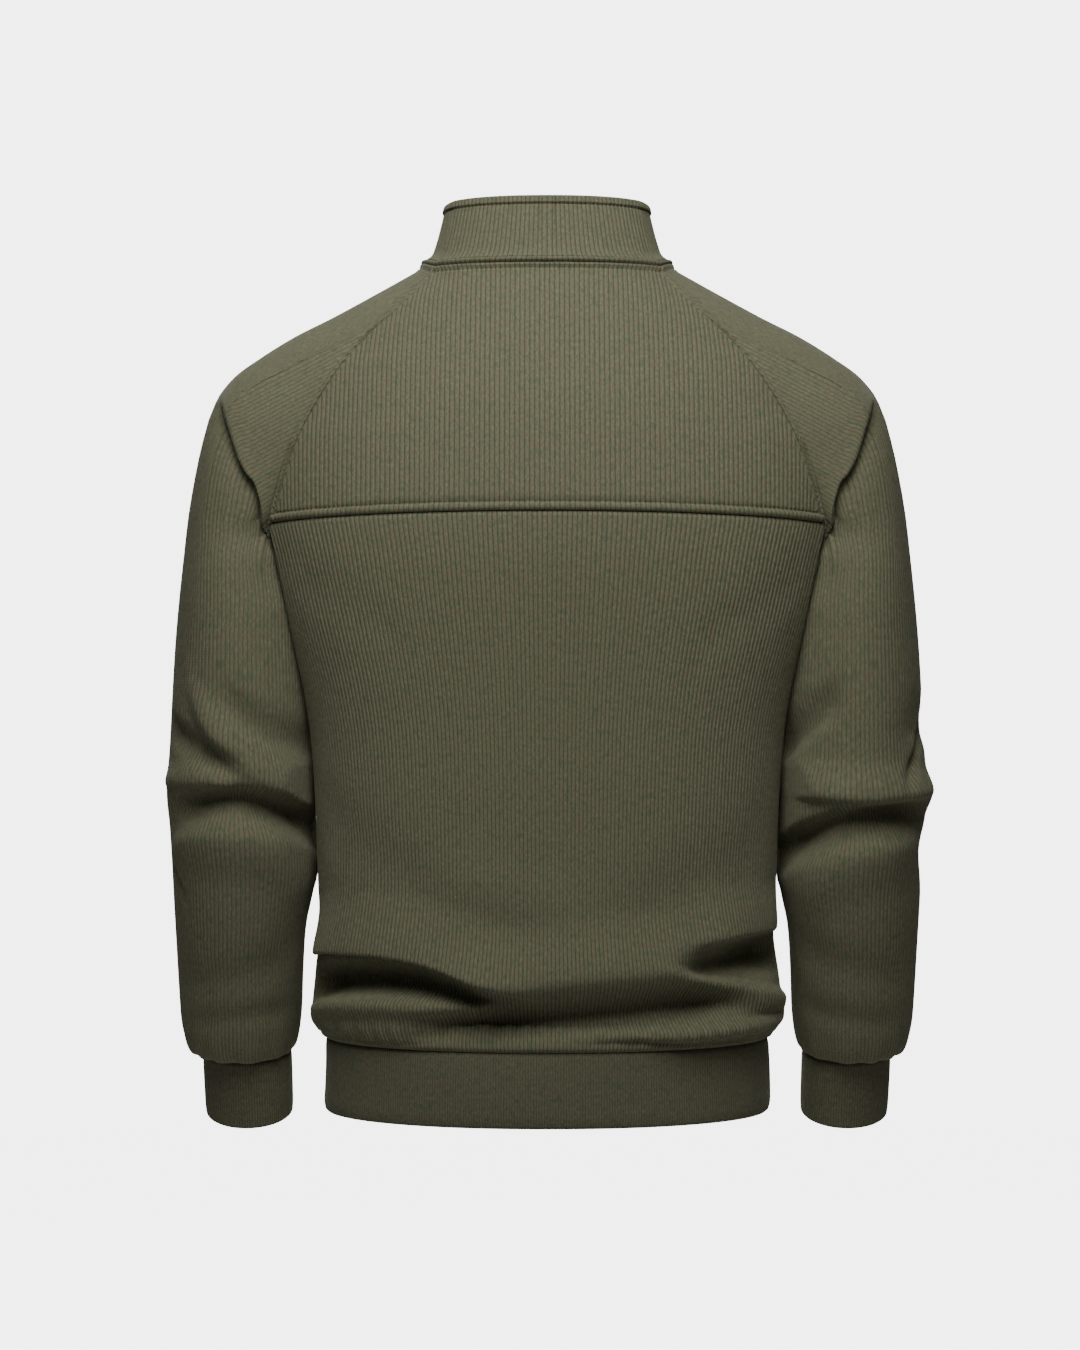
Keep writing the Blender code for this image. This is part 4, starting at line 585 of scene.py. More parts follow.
def makeKnitGroup():               # stitches, fuzz and heathered yarn from flat lengths in metres
    group = bpy.data.node_groups.new("knit stitches", "ShaderNodeTree")
    addSocket(group, "Flat", "NodeSocketVector", "INPUT")
    addSocket(group, "Rib Pitch", "NodeSocketFloat", "INPUT", garment["ribPitch"])
    addSocket(group, "Stitch Height", "NodeSocketFloat", "INPUT", knit["stitch"])
    for name in ("Height", "Tone", "Valley", "Patch"):
        addSocket(group, name, "NodeSocketFloat", "OUTPUT")
    start = group.nodes.new("NodeGroupInput")
    end = group.nodes.new("NodeGroupOutput")
    split = group.nodes.new("ShaderNodeSeparateXYZ")
    link(group, start.outputs["Flat"], split.inputs[0])
    across = mathNode(group, "DIVIDE", split.outputs["X"], start.outputs["Rib Pitch"])
    inRib = mathNode(group, "FRACT", across)
    fromMiddle = mathNode(group, "ABSOLUTE", mathNode(group, "SUBTRACT", inRib, 0.5))
    # the valley mask says where the narrow valleys between the ribs get painted shade
    valley = group.nodes.new("ShaderNodeMapRange")
    valley.interpolation_type = "SMOOTHSTEP"
    valley.inputs["From Min"].default_value = knit["valleyShadeStart"]
    valley.inputs["From Max"].default_value = 0.5
    link(group, fromMiddle, valley.inputs["Value"])
    wale = mathNode(group, "FRACT", mathNode(group, "MULTIPLY", across, 2.0))
    slant = mathNode(group, "ABSOLUTE", mathNode(group, "SUBTRACT", wale, 0.5))
    course = mathNode(group, "DIVIDE", split.outputs["Y"], start.outputs["Stitch Height"])
    chevron = mathNode(group, "ADD", course, mathNode(group, "MULTIPLY", slant, 1.1))
    stitch = mathNode(group, "SINE", mathNode(group, "MULTIPLY", chevron, 2 * math.pi))
    legs = mathNode(group, "SINE", mathNode(group, "MULTIPLY", wale, math.pi))
    yarn = mathNode(group, "MULTIPLY", mathNode(group, "MULTIPLY_ADD", stitch, 0.5, 0.5), legs)
    fuzz = noise(group, start.outputs["Flat"], *knit["fuzz"])
    stretch = group.nodes.new("ShaderNodeMapping")
    stretch.inputs["Scale"].default_value = (1.0, 0.35, 1.0)
    link(group, start.outputs["Flat"], stretch.inputs["Vector"])
    found = {
        "Height": mathNode(group, "MULTIPLY_ADD", fuzz, 0.6, yarn),
        "Tone": noise(group, stretch.outputs[0], *knit["heather"]),
        "Valley": valley.outputs[0],
        "Patch": noise(group, start.outputs["Flat"], *knit["patch"]),
    }
    for name, output in found.items():
        link(group, output, end.inputs[name])
    return group


def mixColour(tree, share, first, second):
    node = tree.nodes.new("ShaderNodeMix")
    node.data_type = "RGBA"
    for i, value in ((0, share), (6, first), (7, second)):     # the factor and the two colours
        if isinstance(value, bpy.types.NodeSocket):
            link(tree, value, node.inputs[i])
        else:
            node.inputs[i].default_value = value
    return node.outputs[2]


def newMaterial(name, roughness, metallic=0.0):
    material = bpy.data.materials.new(name)
    material.use_nodes = True
    shader = material.node_tree.nodes["Principled BSDF"]
    shader.inputs["Roughness"].default_value = roughness
    shader.inputs["Metallic"].default_value = metallic
    return material, material.node_tree, shader


def remap(tree, value, *limits):
    node = tree.nodes.new("ShaderNodeMapRange")
    for name, number in zip(("From Min", "From Max", "To Min", "To Max"), limits):
        node.inputs[name].default_value = number
    link(tree, value, node.inputs["Value"])
    return node.outputs[0]


knit = {
    "yarn": (0.112, 0.112, 0.066, 1.0),
    "pale": (0.185, 0.184, 0.114, 1.0),
    "brown": (0.150, 0.120, 0.076, 1.0),
    "green": (0.094, 0.116, 0.070, 1.0),
    # valley is a dark colour mixed into the rib valleys as painted shade; the two shares below set
    # how much on the body and on the sleeves
    "valley": (0.040, 0.040, 0.025, 1.0),
    "valleyShadeShare": 0.62, "sleeveValleyShadeShare": 0.45,
    "valleyShadeStart": 0.26,           # from a rib's middle, as a share of the pitch
    "stitch": 0.0012,
    "fuzz": (2600.0, 2.0), "heather": (900.0, 3.0, 0.65), "patch": (160.0, 5.0),
    "toneRange": (0.35, 0.65, 0.0, 1.0),
    "brownRange": (0.50, 0.68, 0.0, 0.55), "greenRange": (0.50, 0.34, 0.0, 0.60),
    "sheen": 0.16, "sheenRoughness": 0.45, "sheenTint": (0.75, 0.76, 0.62, 1.0),
    "specular": 0.2,
    "roughness": 0.92,
    "bump": 0.35,
    "bumpDepth": 0.00035,
}


def knitMaterial(name, pitch, stitch, valleyShadeShare, shade=1.0):
    material, tree, shader = newMaterial(name, knit["roughness"])
    flat = tree.nodes.new("ShaderNodeUVMap")
    flat.uv_map = "flat"
    stitches = tree.nodes.new("ShaderNodeGroup")
    stitches.node_tree = knitGroup
    stitches.inputs["Rib Pitch"].default_value = pitch
    stitches.inputs["Stitch Height"].default_value = stitch
    link(tree, flat.outputs[0], stitches.inputs["Flat"])
    # shade below 1 makes a darker copy of the knit's colours, a painted shade
    yarn, pale, brown, green = [tuple(part * shade for part in knit[key][:3]) + (1.0,)
                                for key in ("yarn", "pale", "brown", "green")]
    tone = remap(tree, stitches.outputs["Tone"], *knit["toneRange"])
    colour = mixColour(tree, tone, yarn, pale)
    for name, tint in (("brownRange", brown), ("greenRange", green)):
        share = remap(tree, stitches.outputs["Patch"], *knit[name])
        colour = mixColour(tree, share, colour, tint)
    # painted shade: each rib's valley is darkened toward the valley colour
    deep = mathNode(tree, "MULTIPLY", stitches.outputs["Valley"], valleyShadeShare)
    colour = mixColour(tree, deep, colour, knit["valley"])
    link(tree, colour, shader.inputs["Base Color"])
    raised = tree.nodes.new("ShaderNodeBump")
    raised.inputs["Strength"].default_value = knit["bump"]
    raised.inputs["Distance"].default_value = knit["bumpDepth"]
    link(tree, stitches.outputs["Height"], raised.inputs["Height"])
    link(tree, raised.outputs[0], shader.inputs["Normal"])
    for socket, name in (("Sheen Weight", "sheen"), ("Sheen Roughness", "sheenRoughness"),
                         ("Sheen Tint", "sheenTint"), ("Specular IOR Level", "specular")):
        shader.inputs[socket].default_value = knit[name]
    return material


knitGroup = makeKnitGroup()
ribKnit = knitMaterial("rib knit", garment["ribPitch"], knit["stitch"], knit["valleyShadeShare"])
sleeveKnit = knitMaterial("sleeve knit", garment["ribPitch"], knit["stitch"],
                          knit["sleeveValleyShadeShare"])
# the hem band and cuffs take a darker copy of the knit, 0.86 of its colours: painted shade for the
# shadow under the blousing cloth above them
fineRib = knitMaterial("fine rib", 0.0021, 0.0009, 0.55, 0.86)
print("knit materials made")


# body panels
def bodyWall(side, across, height, rise, inside):
    point = foldedPoint(side, across, height)
    out = sideNormal(side, across, height, foldedPoint)
    for level in (yokeLevel(side, across), hemSeam):   # cloth stands straight out at level seams
        out[:, 2] *= ease(np.abs(height - level) / 0.008)
    out = unit(out)
    return point + np.where(inside, -garment["cloth"], rise)[:, None] * out


def rowPlaces(steps):              # a list of (share of the rows, place) as two arrays
    return np.array([s[0] for s in steps]), np.array([s[1] for s in steps])


def squareTo(side, across, down):  # the distance from the upper edge, square to it
    step = 0.001
    slope = (topOf(side, np.abs(across) + step) - topOf(side, np.abs(across) - step)) / (2 * step)
    return down / np.sqrt(1 + slope ** 2)


neckEdge = {
    "rise": 0.0030, "reach": 0.0080, "cord": 0.0016, "middle": 0.0015, "half": 0.0015,
    "groove": 0.0012, "grooveMiddle": 0.0042, "grooveHalf": 0.0013,
}
raglanLip = {"rise": 0.0013, "middle": 0.0012, "half": 0.0013}


def neckRise(down, phase):         # the corded edge under the collar, scalloped by the ribs
    scallop = 0.75 + 0.25 * np.cos(2 * np.pi * phase)
    return (neckEdge["rise"] * (1 - ease(down / neckEdge["reach"]))
            + neckEdge["cord"] * scallop * cord(down - neckEdge["middle"], neckEdge["half"])
            - neckEdge["groove"] * bump(down - neckEdge["grooveMiddle"], neckEdge["grooveHalf"]))


def edgeRise(side, across, down, phase):   # along the raglan seam, and under the collar
    aside = squareTo(side, across, down) - raglanLip["middle"]
    onSeam = np.abs(across) > side["neckAcross"]
    return np.where(onSeam, raglanLip["rise"] * bump(aside, raglanLip["half"]),
                    neckRise(down, phase))


backYoke = {
    "rows": 32,
    "endDrop": 0.0045,             # how short the last column is
    "welt": 0.0026, "weltMiddle": 0.0029, "weltHalf": 0.0030, "weltSpan": 0.0080,
    "groove": 0.0009, "grooveMiddle": 0.0068, "grooveHalf": 0.0016,
    "topSpan": 0.0060,             # height of the close rows at the upper edge
}


def makeYoke():
    heights = backSeam["height"]
    end = float(np.interp(-(yokeSeam + backYoke["endDrop"]), -heights, backSeam["across"]))
    count = round(2 * end / garment["ribPitch"])
    shares, places = rowPlaces([(0, 0), (7 / 32, 1), (23 / 32, 2), (1, 3)])

    def surface(x, y, inside):
        across = (2 * x - 1) * end
        top = topOf(back, across)
        bottom = yokeLevel(back, across) + seamGap
        whole = top - bottom
        welt = np.minimum(backYoke["weltSpan"], 0.6 * whole)
        nearTop = np.minimum(backYoke["topSpan"], 0.25 * whole)
        part = np.interp(y, shares, places)
        height = bottom + np.select(
            [part < 1, part < 2],
            [welt * part, welt + (whole - welt - nearTop) * (part - 1)],
            whole - nearTop * (3 - part))
        up = height - bottom
        down = top - height
        phase = x * count
        square = squareTo(back, across, down)
        fade = ease(up / 0.003) * ease((square - 0.0014) / 0.0016)
        rib = ribs(phase, garment["ribHeight"])
        weltRise = backYoke["welt"] * cord(up - backYoke["weltMiddle"], backYoke["weltHalf"])
        rise = rib * (0.45 + 0.55 * ease(up / 0.006)) * fade + weltRise
        rise = rise - backYoke["groove"] * bump(up - backYoke["grooveMiddle"],
                                                backYoke["grooveHalf"])
        rise = rise + edgeRise(back, across, down, phase)
        points = bodyWall(back, across, height, rise, inside)
        return points, np.stack([phase * garment["ribPitch"], height], axis=1)

    piece = clothPiece("yoke", 2 * count, backYoke["rows"], surface, ribKnit)
    places = np.linspace(0.0, end, 200)
    settle(piece, "back_yoke")


makeYoke()

lowerBack = {
    "rows": 52,
    "tuck": 0.0010,                # how far the edge goes in under the yoke's welt
}
hemSeamLook = {
    "welt": 0.0010, "weltMiddle": 0.0020, "weltHalf": 0.0020,
    "groove": 0.0008, "grooveMiddle": 0.0052, "grooveHalf": 0.0016,
    "gather": 0.0007, "gatherMiddle": 0.014, "gatherHalf": 0.012,
}


def hemRise(across, up):           # the seam's soft welt, a groove over it and small gathers
    waves = np.sin(across * 300 + 2.2 * np.sin(across * 41))
    welt, groove, gather = [bump(up - hemSeamLook[name + "Middle"], hemSeamLook[name + "Half"])
                            for name in ("welt", "groove", "gather")]
    return (hemSeamLook["welt"] * welt - hemSeamLook["groove"] * groove
            + hemSeamLook["gather"] * waves * gather)


def makeBack():
    full = back["full"] - sideGap
    count = round(2 * full / garment["ribPitch"])
    bottom = hemSeam + seamGap
    # close rows at the seams and where the folds are
    shares, places = rowPlaces([(0.0, 0.0), (0.06, 0.010), (0.26, 0.640), (0.92, 0.978),
                                (1.0, 1.0)])

    def surface(x, y, inside):
        across = (2 * x - 1) * full
        underYoke = np.abs(across) < back["corner"]
        top = np.where(underYoke, yokeLevel(back, across), topOf(back, across))
        height = top - (top - bottom) * np.interp(y, shares, places)
        phase = x * count
        down = top - height
        up = height - bottom
        side = full - np.abs(across)
        fade = ease(side / 0.003) * (0.4 + 0.6 * ease(down / 0.003)) * ease(up / 0.004)
        rise = ribs(phase, garment["ribHeight"]) * fade
        rise = rise - lowerBack["tuck"] * bump(down, 0.0035)
        rise = rise + hemRise(across, up)
        points = bodyWall(back, across, height, rise, inside)
        return points, np.stack([phase * garment["ribPitch"], height], axis=1)

    piece = clothPiece("lower_back", 2 * count, lowerBack["rows"], surface, ribKnit)
    settle(piece, "back_panel")


makeBack()

wholeFront = {"rows": 50, "middleRibs": 2}


def makeFront():
    full = front["full"] - sideGap
    half = garment["slitHalf"]
    count = round((full - half) / garment["ribPitch"])
    middle = wholeFront["middleRibs"]
    columns = 4 * count + 2 * middle
    bottom = hemSeam + seamGap
    slitColumns = (2 * count / columns, 1 - 2 * count / columns)
    shares, places = rowPlaces([(0.0, 0.0), (0.06, 0.006), (0.45, 0.550), (0.93, 0.985),
                                (1.0, 1.0)])
    slitEnd = garment["slitEnd"]
    slitDepth = (garment["neckFront"] - slitEnd) / (garment["neckFront"] - bottom)
    slitRow = round(wholeFront["rows"] * np.interp(slitDepth, places, shares))
    slitShare = slitRow / wholeFront["rows"]
    slitPlace = np.interp(slitShare, shares, places)

    def surface(x, y, inside):
        across = np.interp(x, (0.0, *slitColumns, 1.0), (-full, -half, half, full))
        top = topOf(front, across)
        place = np.interp(y, shares, places)
        # the row at the slit's end is level
        above = top + (slitEnd - top) * place / slitPlace
        below = slitEnd + (bottom - slitEnd) * (place - slitPlace) / (1 - slitPlace)
        height = np.where(y <= slitShare + 1e-9, above, below)
        aside = np.abs(across)
        phase = np.where(aside > half, middle / 2 + (aside - half) / (full - half) * count,
                         aside / half * middle / 2)
        down = top - height
        up = height - bottom
        fade = ease((full - aside) / 0.003) * ease(down / 0.0025) * ease(up / 0.004)
        rise = ribs(phase, garment["ribHeight"]) * fade
        rise = rise + edgeRise(front, across, down, phase)
        rise = rise + hemRise(across, up)
        points = bodyWall(front, across, height, rise, inside)
        return points, np.stack([np.sign(across) * phase * garment["ribPitch"], height], axis=1)

    def inSlit(x, y):
        return slitColumns[0] < x < slitColumns[1] and y < slitShare

    piece = clothPiece("whole_front", columns, wholeFront["rows"], surface, ribKnit, cut=inSlit)
    places = np.linspace(0.0, full, 300)
    settle(piece, "front_panel")


makeFront()

# sleeves: angle 0 is the outer line, minus is behind
leftFolds = table(foldColumns, [
    (-40.0, -190.0, -0.322, -0.4020, -0.408, 0.0075, 0.013, 0.011, 0.0020),
    (-70.0, -178.0, -0.335, -0.3740, -0.384, -0.0050, 0.013, 0.009, 0.0),
    (-8.0, -110.0, -0.362, -0.3840, -0.403, -0.0070, 0.009, 0.008, 0.0),
    (-4.0, -112.0, -0.413, -0.4045, -0.406, 0.0045, 0.008, 0.005, 0.0025),
    (-16.0, -195.0, -0.440, -0.4210, -0.464, -0.0185, 0.007, 0.014, 0.0),
    (-14.0, -150.0, -0.468, -0.4480, -0.480, 0.0045, 0.012, 0.018, 0.0),
    (-14.0, -52.0, -0.468, -0.4870, -0.508, -0.0018, 0.004, 0.004, 0.0),
    (12.0, 170.0, -0.372, -0.3900, -0.380, -0.0080, 0.010, 0.010, 0.0),
    (8.0, 185.0, -0.396, -0.4160, -0.406, 0.0060, 0.012, 0.008, 0.0025),
    (14.0, 175.0, -0.420, -0.4420, -0.430, -0.0110, 0.008, 0.014, 0.0),
    (-150.0, -20.0, -0.548, -0.5600, -0.572, -0.0026, 0.012, 0.012, 0.0),
    (-30.0, -165.0, -0.604, -0.5920, -0.598, -0.0026, 0.008, 0.008, 0.0),
    (20.0, 160.0, -0.560, -0.5750, -0.590, -0.0026, 0.012, 0.012, 0.0),
])
rightFolds = table(foldColumns, [
    (-4.0, -207.0, -0.4140, -0.4140, -0.402, 0.0090, 0.012, 0.007, 0.0040),
    (-2.0, -64.0, -0.350, -0.3860, -0.413, -0.0045, 0.005, 0.005, 0.0),
    (-100.0, -180.0, -0.340, -0.3700, -0.398, -0.0080, 0.016, 0.010, 0.0),
    (62.0, -62.0, -0.4195, -0.4195, -0.4195, 0.0048, 0.011, 0.011, 0.0),
    (70.0, -70.0, -0.370, -0.3700, -0.370, -0.0033, 0.018, 0.010, 0.0),
    (70.0, -70.0, -0.466, -0.4660, -0.466, -0.0032, 0.012, 0.020, 0.0),
    (-6.0, -195.0, -0.434, -0.4330, -0.486, -0.0185, 0.006, 0.015, 0.0),
    (-10.0, -150.0, -0.470, -0.4620, -0.500, 0.0045, 0.012, 0.018, 0.0),
    (25.0, 170.0, -0.366, -0.3860, -0.384, -0.0080, 0.010, 0.010, 0.0),
    (10.0, 185.0, -0.408, -0.4160, -0.400, 0.0060, 0.012, 0.008, 0.0025),
    (14.0, 175.0, -0.432, -0.4440, -0.434, -0.0110, 0.008, 0.014, 0.0),
    (-160.0, -30.0, -0.540, -0.5520, -0.566, -0.0026, 0.012, 0.012, 0.0),
    (-40.0, -165.0, -0.600, -0.5940, -0.590, -0.0026, 0.008, 0.008, 0.0),
    (20.0, 160.0, -0.566, -0.5780, -0.590, -0.0026, 0.012, 0.012, 0.0),
])
capCrease = table("angle ring depth", [
    (0.0, 5.8, 0.0), (30.0, 5.8, 0.0), (43.0, 5.90, 0.6), (61.0, 6.35, 1.0), (88.0, 7.65, 1.0),
    (103.0, 8.75, 0.9), (115.0, 9.45, 0.2), (128.0, 9.9, 0.0), (150.0, 10.3, 0.0),
    (180.0, 10.5, 0.0),
])
nearBody = table("depth out", [    # how much fuller the sleeve is where it rests on the body
    (0.232, 0.0), (0.262, 0.0022), (0.300, 0.0026), (0.440, 0.0026), (0.465, 0.0040),
    (0.480, 0.0054), (0.491, 0.0054), (0.504, 0.0030), (0.528, 0.0),
])
sleeves = {
    "ribPitch": 0.0035,
    "ribSlope": 28.0,              # of the cap's ribs, outward and down
    "lip": 0.0034, "drop": 0.0085, "droop": 0.0030, "lipReach": 0.014, "dropReach": 0.016,
    "frontLap": 0.55,              # depth of the lap in front, to that behind
    "valley": 0.0030, "valleyRings": (0.25, 10.7, 11.4),
    "ringLength": 0.030,           # of a ring on the cap
    "neckLength": 0.045,           # of the first ring
    "cuffLength": 0.012,           # of a ring at the cuff
    "flatRing": 0.028,             # of a ring in the flat cloth
    "room": 0.0004,                # how far folds may stand out toward the body
    "openRoom": 0.012,             # and how much farther away from it
    "bodyAngle": 105, "bodyFade": 50,
    "gather": 0.0010, "gatherRings": (21.0, 24.0),
    "capFlat": 1.10,               # height of the cap's ribs, to the body's
    "armFlat": 0.35,               # share of their height that the ribs lose on the arm
    "lapHalf": 0.05, "capStep": 0.22,
    "seamRows": 5, "capRows": 22, "underRows": 5, "armRows": 48,
    "seamRings": 0.17,             # how far the close rows at the seam reach
    "flatLength": 0.66, "flatShare": 0.85,     # the cut's length, and how much of its box it fills
}


def evenAngles(count):             # evenly spaced round the upper arm's ring, from -180
    fine = np.linspace(-180.0, 180.0, 1441)
    ring = plainRing(np.full(len(fine), 12.0), fine)
    run = lengthAlong(ring)
    return np.interp(np.arange(count + 1) / count * run[-1], run, fine), run[-1]


def firstRing(angle):              # the ring where the sleeve begins, and whether that is the neck
    behind = angle < 0
    onNeck = np.abs(angle) <= np.where(behind, backSeam["angles"][0], frontSeam["angles"][0])
    first = np.where(behind, seamRing(backSeam, np.abs(angle)), seamRing(frontSeam, np.abs(angle)))
    return np.where(onNeck, 0.0, first), onNeck


def seamFlat(angle):
    first, onNeck = firstRing(angle)
    flat = np.where(angle < 0, seamRead(backSeam, "flat", first)[..., 0],
                    seamRead(frontSeam, "flat", first)[..., 0])
    return np.where(onNeck, 1.0, flat)


def sleeveShape(folds, lapped=True):
    def shape(ring, angle):
        ring, angle = np.broadcast_arrays(np.asarray(ring, float), np.asarray(angle, float))
        turned = (angle + 180.0) % 360.0 - 180.0
        point = metRing(ring, turned)
        level = np.interp(ring, ringNumbers, sleeveTable["height"])
        rise, sag = foldLift(folds, turned, level)
        crease = curve(np.abs(turned), capCrease["angle"], capCrease["ring"])
        depth = curve(np.abs(turned), capCrease["angle"], capCrease["depth"])
        depth = depth * np.where(turned > 0, sleeves["frontLap"], 1.0)
        past = (ring - crease) * sleeves["ringLength"]
        above = np.exp(-np.maximum(-past, 0.0) / sleeves["lipReach"])
        drop = -sleeves["drop"] * np.exp(-np.abs(past) / sleeves["dropReach"])
        lip = (past < 0) & lapped
        rise = rise + depth * np.where(lip, sleeves["lip"] * above, drop)
        near, low, lowest = sleeves["valleyRings"]
        drawn = ease((ring - firstRing(turned)[0]) / near) * ease((lowest - ring) / (lowest - low))
        rise = rise - sleeves["valley"] * (1 - seamFlat(turned)) * drawn
        facing = ease((np.abs(turned) - sleeves["bodyAngle"]) / sleeves["bodyFade"])
        full = curve(-level, nearBody["depth"], nearBody["out"]) * facing
        room = sleeves["room"] + sleeves["openRoom"] * (1 - facing)
        rise = np.where(ring > wholeRing, np.minimum(rise, room), rise) + full
        spread = np.radians(turned)
        waves = np.sin(13 * spread + 1.4 * np.sin(3 * spread + folds["rise"][0] * 300))
        first, last = sleeves["gatherRings"]
        rise = rise + sleeves["gather"] * waves * ease((ring - first) / 2.0) * ease(last - ring)
        point = point + rise[..., None] * ringNormal(ring, turned)
        point[..., 2] -= sag + depth * np.where(lip, sleeves["droop"] * above ** 3, 0.0)
        return point
    return shape


# The cap's ribs run straight, so across them each keeps one offset from the neck's end.
capSteps = {
    "ring": 0.05, "offset": 0.0005, "seamPoints": 600,
    "firstOnCrease": 20,           # of its points, the one that the first rib reaches
    "fade": 4,                     # degrees beyond the first and the last of these ribs
}
capRings = np.arange(0.0, 11.01, capSteps["ring"])
capAngles = np.arange(0.0, 181.0, 1.0)
capOffsets = np.arange(-0.12, 0.16, capSteps["offset"])
ribTurn = math.radians(sleeves["ribSlope"])


def offsetOf(points):
    return -(points[..., 0] * math.sin(ribTurn) + points[..., 2] * math.cos(ribTurn))


def makeCap(seam, sign):
    cap = {}
    grid = offsetOf(metRing(capRings[:, None], sign * capAngles[None, :]))
    grid = np.maximum.accumulate(grid, axis=1) + capAngles[None, :] * 1e-7
    cap["angleAt"] = np.array([np.interp(capOffsets, row, capAngles) for row in grid])
    places = np.linspace(0.0, len(seam["points"]) - 1, capSteps["seamPoints"])
    seamOffset = np.maximum.accumulate(offsetOf(readAt(seam["points"], places)))
    rings = np.interp(places, seam["places"], seam["rings"])
    cap["seamOffset"] = seamOffset + np.arange(len(places)) * 1e-8
    cap["seamMagnitude"] = seamAngle(seam, rings)
    creaseAt = np.arange(30.0, 130.0, 0.5)
    crease = metRing(curve(creaseAt, capCrease["angle"], capCrease["ring"]), sign * creaseAt)
    cap["creaseOffset"] = np.maximum.accumulate(offsetOf(crease)) + creaseAt * 1e-8
    cap["creaseAt"] = creaseAt
    corner = float(np.interp(-yokeSeam, -seam["height"], np.arange(len(seam["height"]))))
    cap["corner"] = float(np.interp(corner, places, cap["seamMagnitude"]))
    # the first rib to reach the crease starts where its offset is the crease's own
    offset = cap["creaseOffset"][capSteps["firstOnCrease"]]
    cap["first"] = float(np.interp(offset, cap["seamOffset"], cap["seamMagnitude"]))
    cap["firstOffset"] = offset
    cap["cornerOffset"] = float(np.interp(corner, places, cap["seamOffset"]))
    return cap


caps = {-1: makeCap(backSeam, -1), 1: makeCap(frontSeam, 1)}


def capRib(cap, magnitude, run):   # where a rib starts on the seam and meets the crease
    lengths = np.interp((cap["first"], cap["corner"]), run[0], run[1])
    here = np.interp(magnitude, run[0], run[1])
    share = np.clip((here - lengths[0]) / (lengths[1] - lengths[0]), 0.0, 1.0)
    offset = cap["firstOffset"] + (cap["cornerOffset"] - cap["firstOffset"]) * share
    start = np.interp(offset, cap["seamOffset"], cap["seamMagnitude"])
    meets = np.interp(offset, cap["creaseOffset"], cap["creaseAt"])
    fade = capSteps["fade"]
    live = ease((magnitude - cap["first"] + fade) / (2 * fade))
    live = live * ease((cap["corner"] + fade - magnitude) / (2 * fade))
    start = magnitude + (start - magnitude) * live
    meets = magnitude + (meets - magnitude) * live
    return start, meets, offset, live


def heldAngle(cap, ring, offset):
    row = np.clip(ring / capSteps["ring"], 0, len(capRings) - 1.001)
    column = np.clip((offset - capOffsets[0]) / capSteps["offset"], 0, len(capOffsets) - 1.001)
    return readGrid(cap["angleAt"], row, column)


rope = {
    "half": 0.0018, "rise": 0.0026,
    "leaf": 0.0052, "slant": 0.0050,   # length of a strand's turn along the rope and across it
    "groove": 0.0010, "grooveHalf": 0.0009,
}


def fromSeam(ring, angle, first, side):    # the distance square to the raglan seam, and along it
    point = metRing(np.minimum(ring, armpitRing), angle)
    step = 0.05
    aside, along = [], []
    for seam in (backSeam, frontSeam):
        start = seamRead(seam, "points", first)
        before = seamRead(seam, "points", np.maximum(first - step, 0.0))
        after = seamRead(seam, "points", np.minimum(first + step, armpitRing))
        line = unit(after - before)
        aside.append(np.linalg.norm(np.cross(point - start, line), axis=-1))
        runs = lengthAlong(seam["points"])
        place = curve(first, seam["rings"], seam["places"])
        along.append(np.interp(place, np.arange(len(runs)), runs)
                     + np.sum((point - start) * line, axis=-1))
    return np.where(side < 0, aside[0], aside[1]), np.where(side < 0, along[0], along[1])


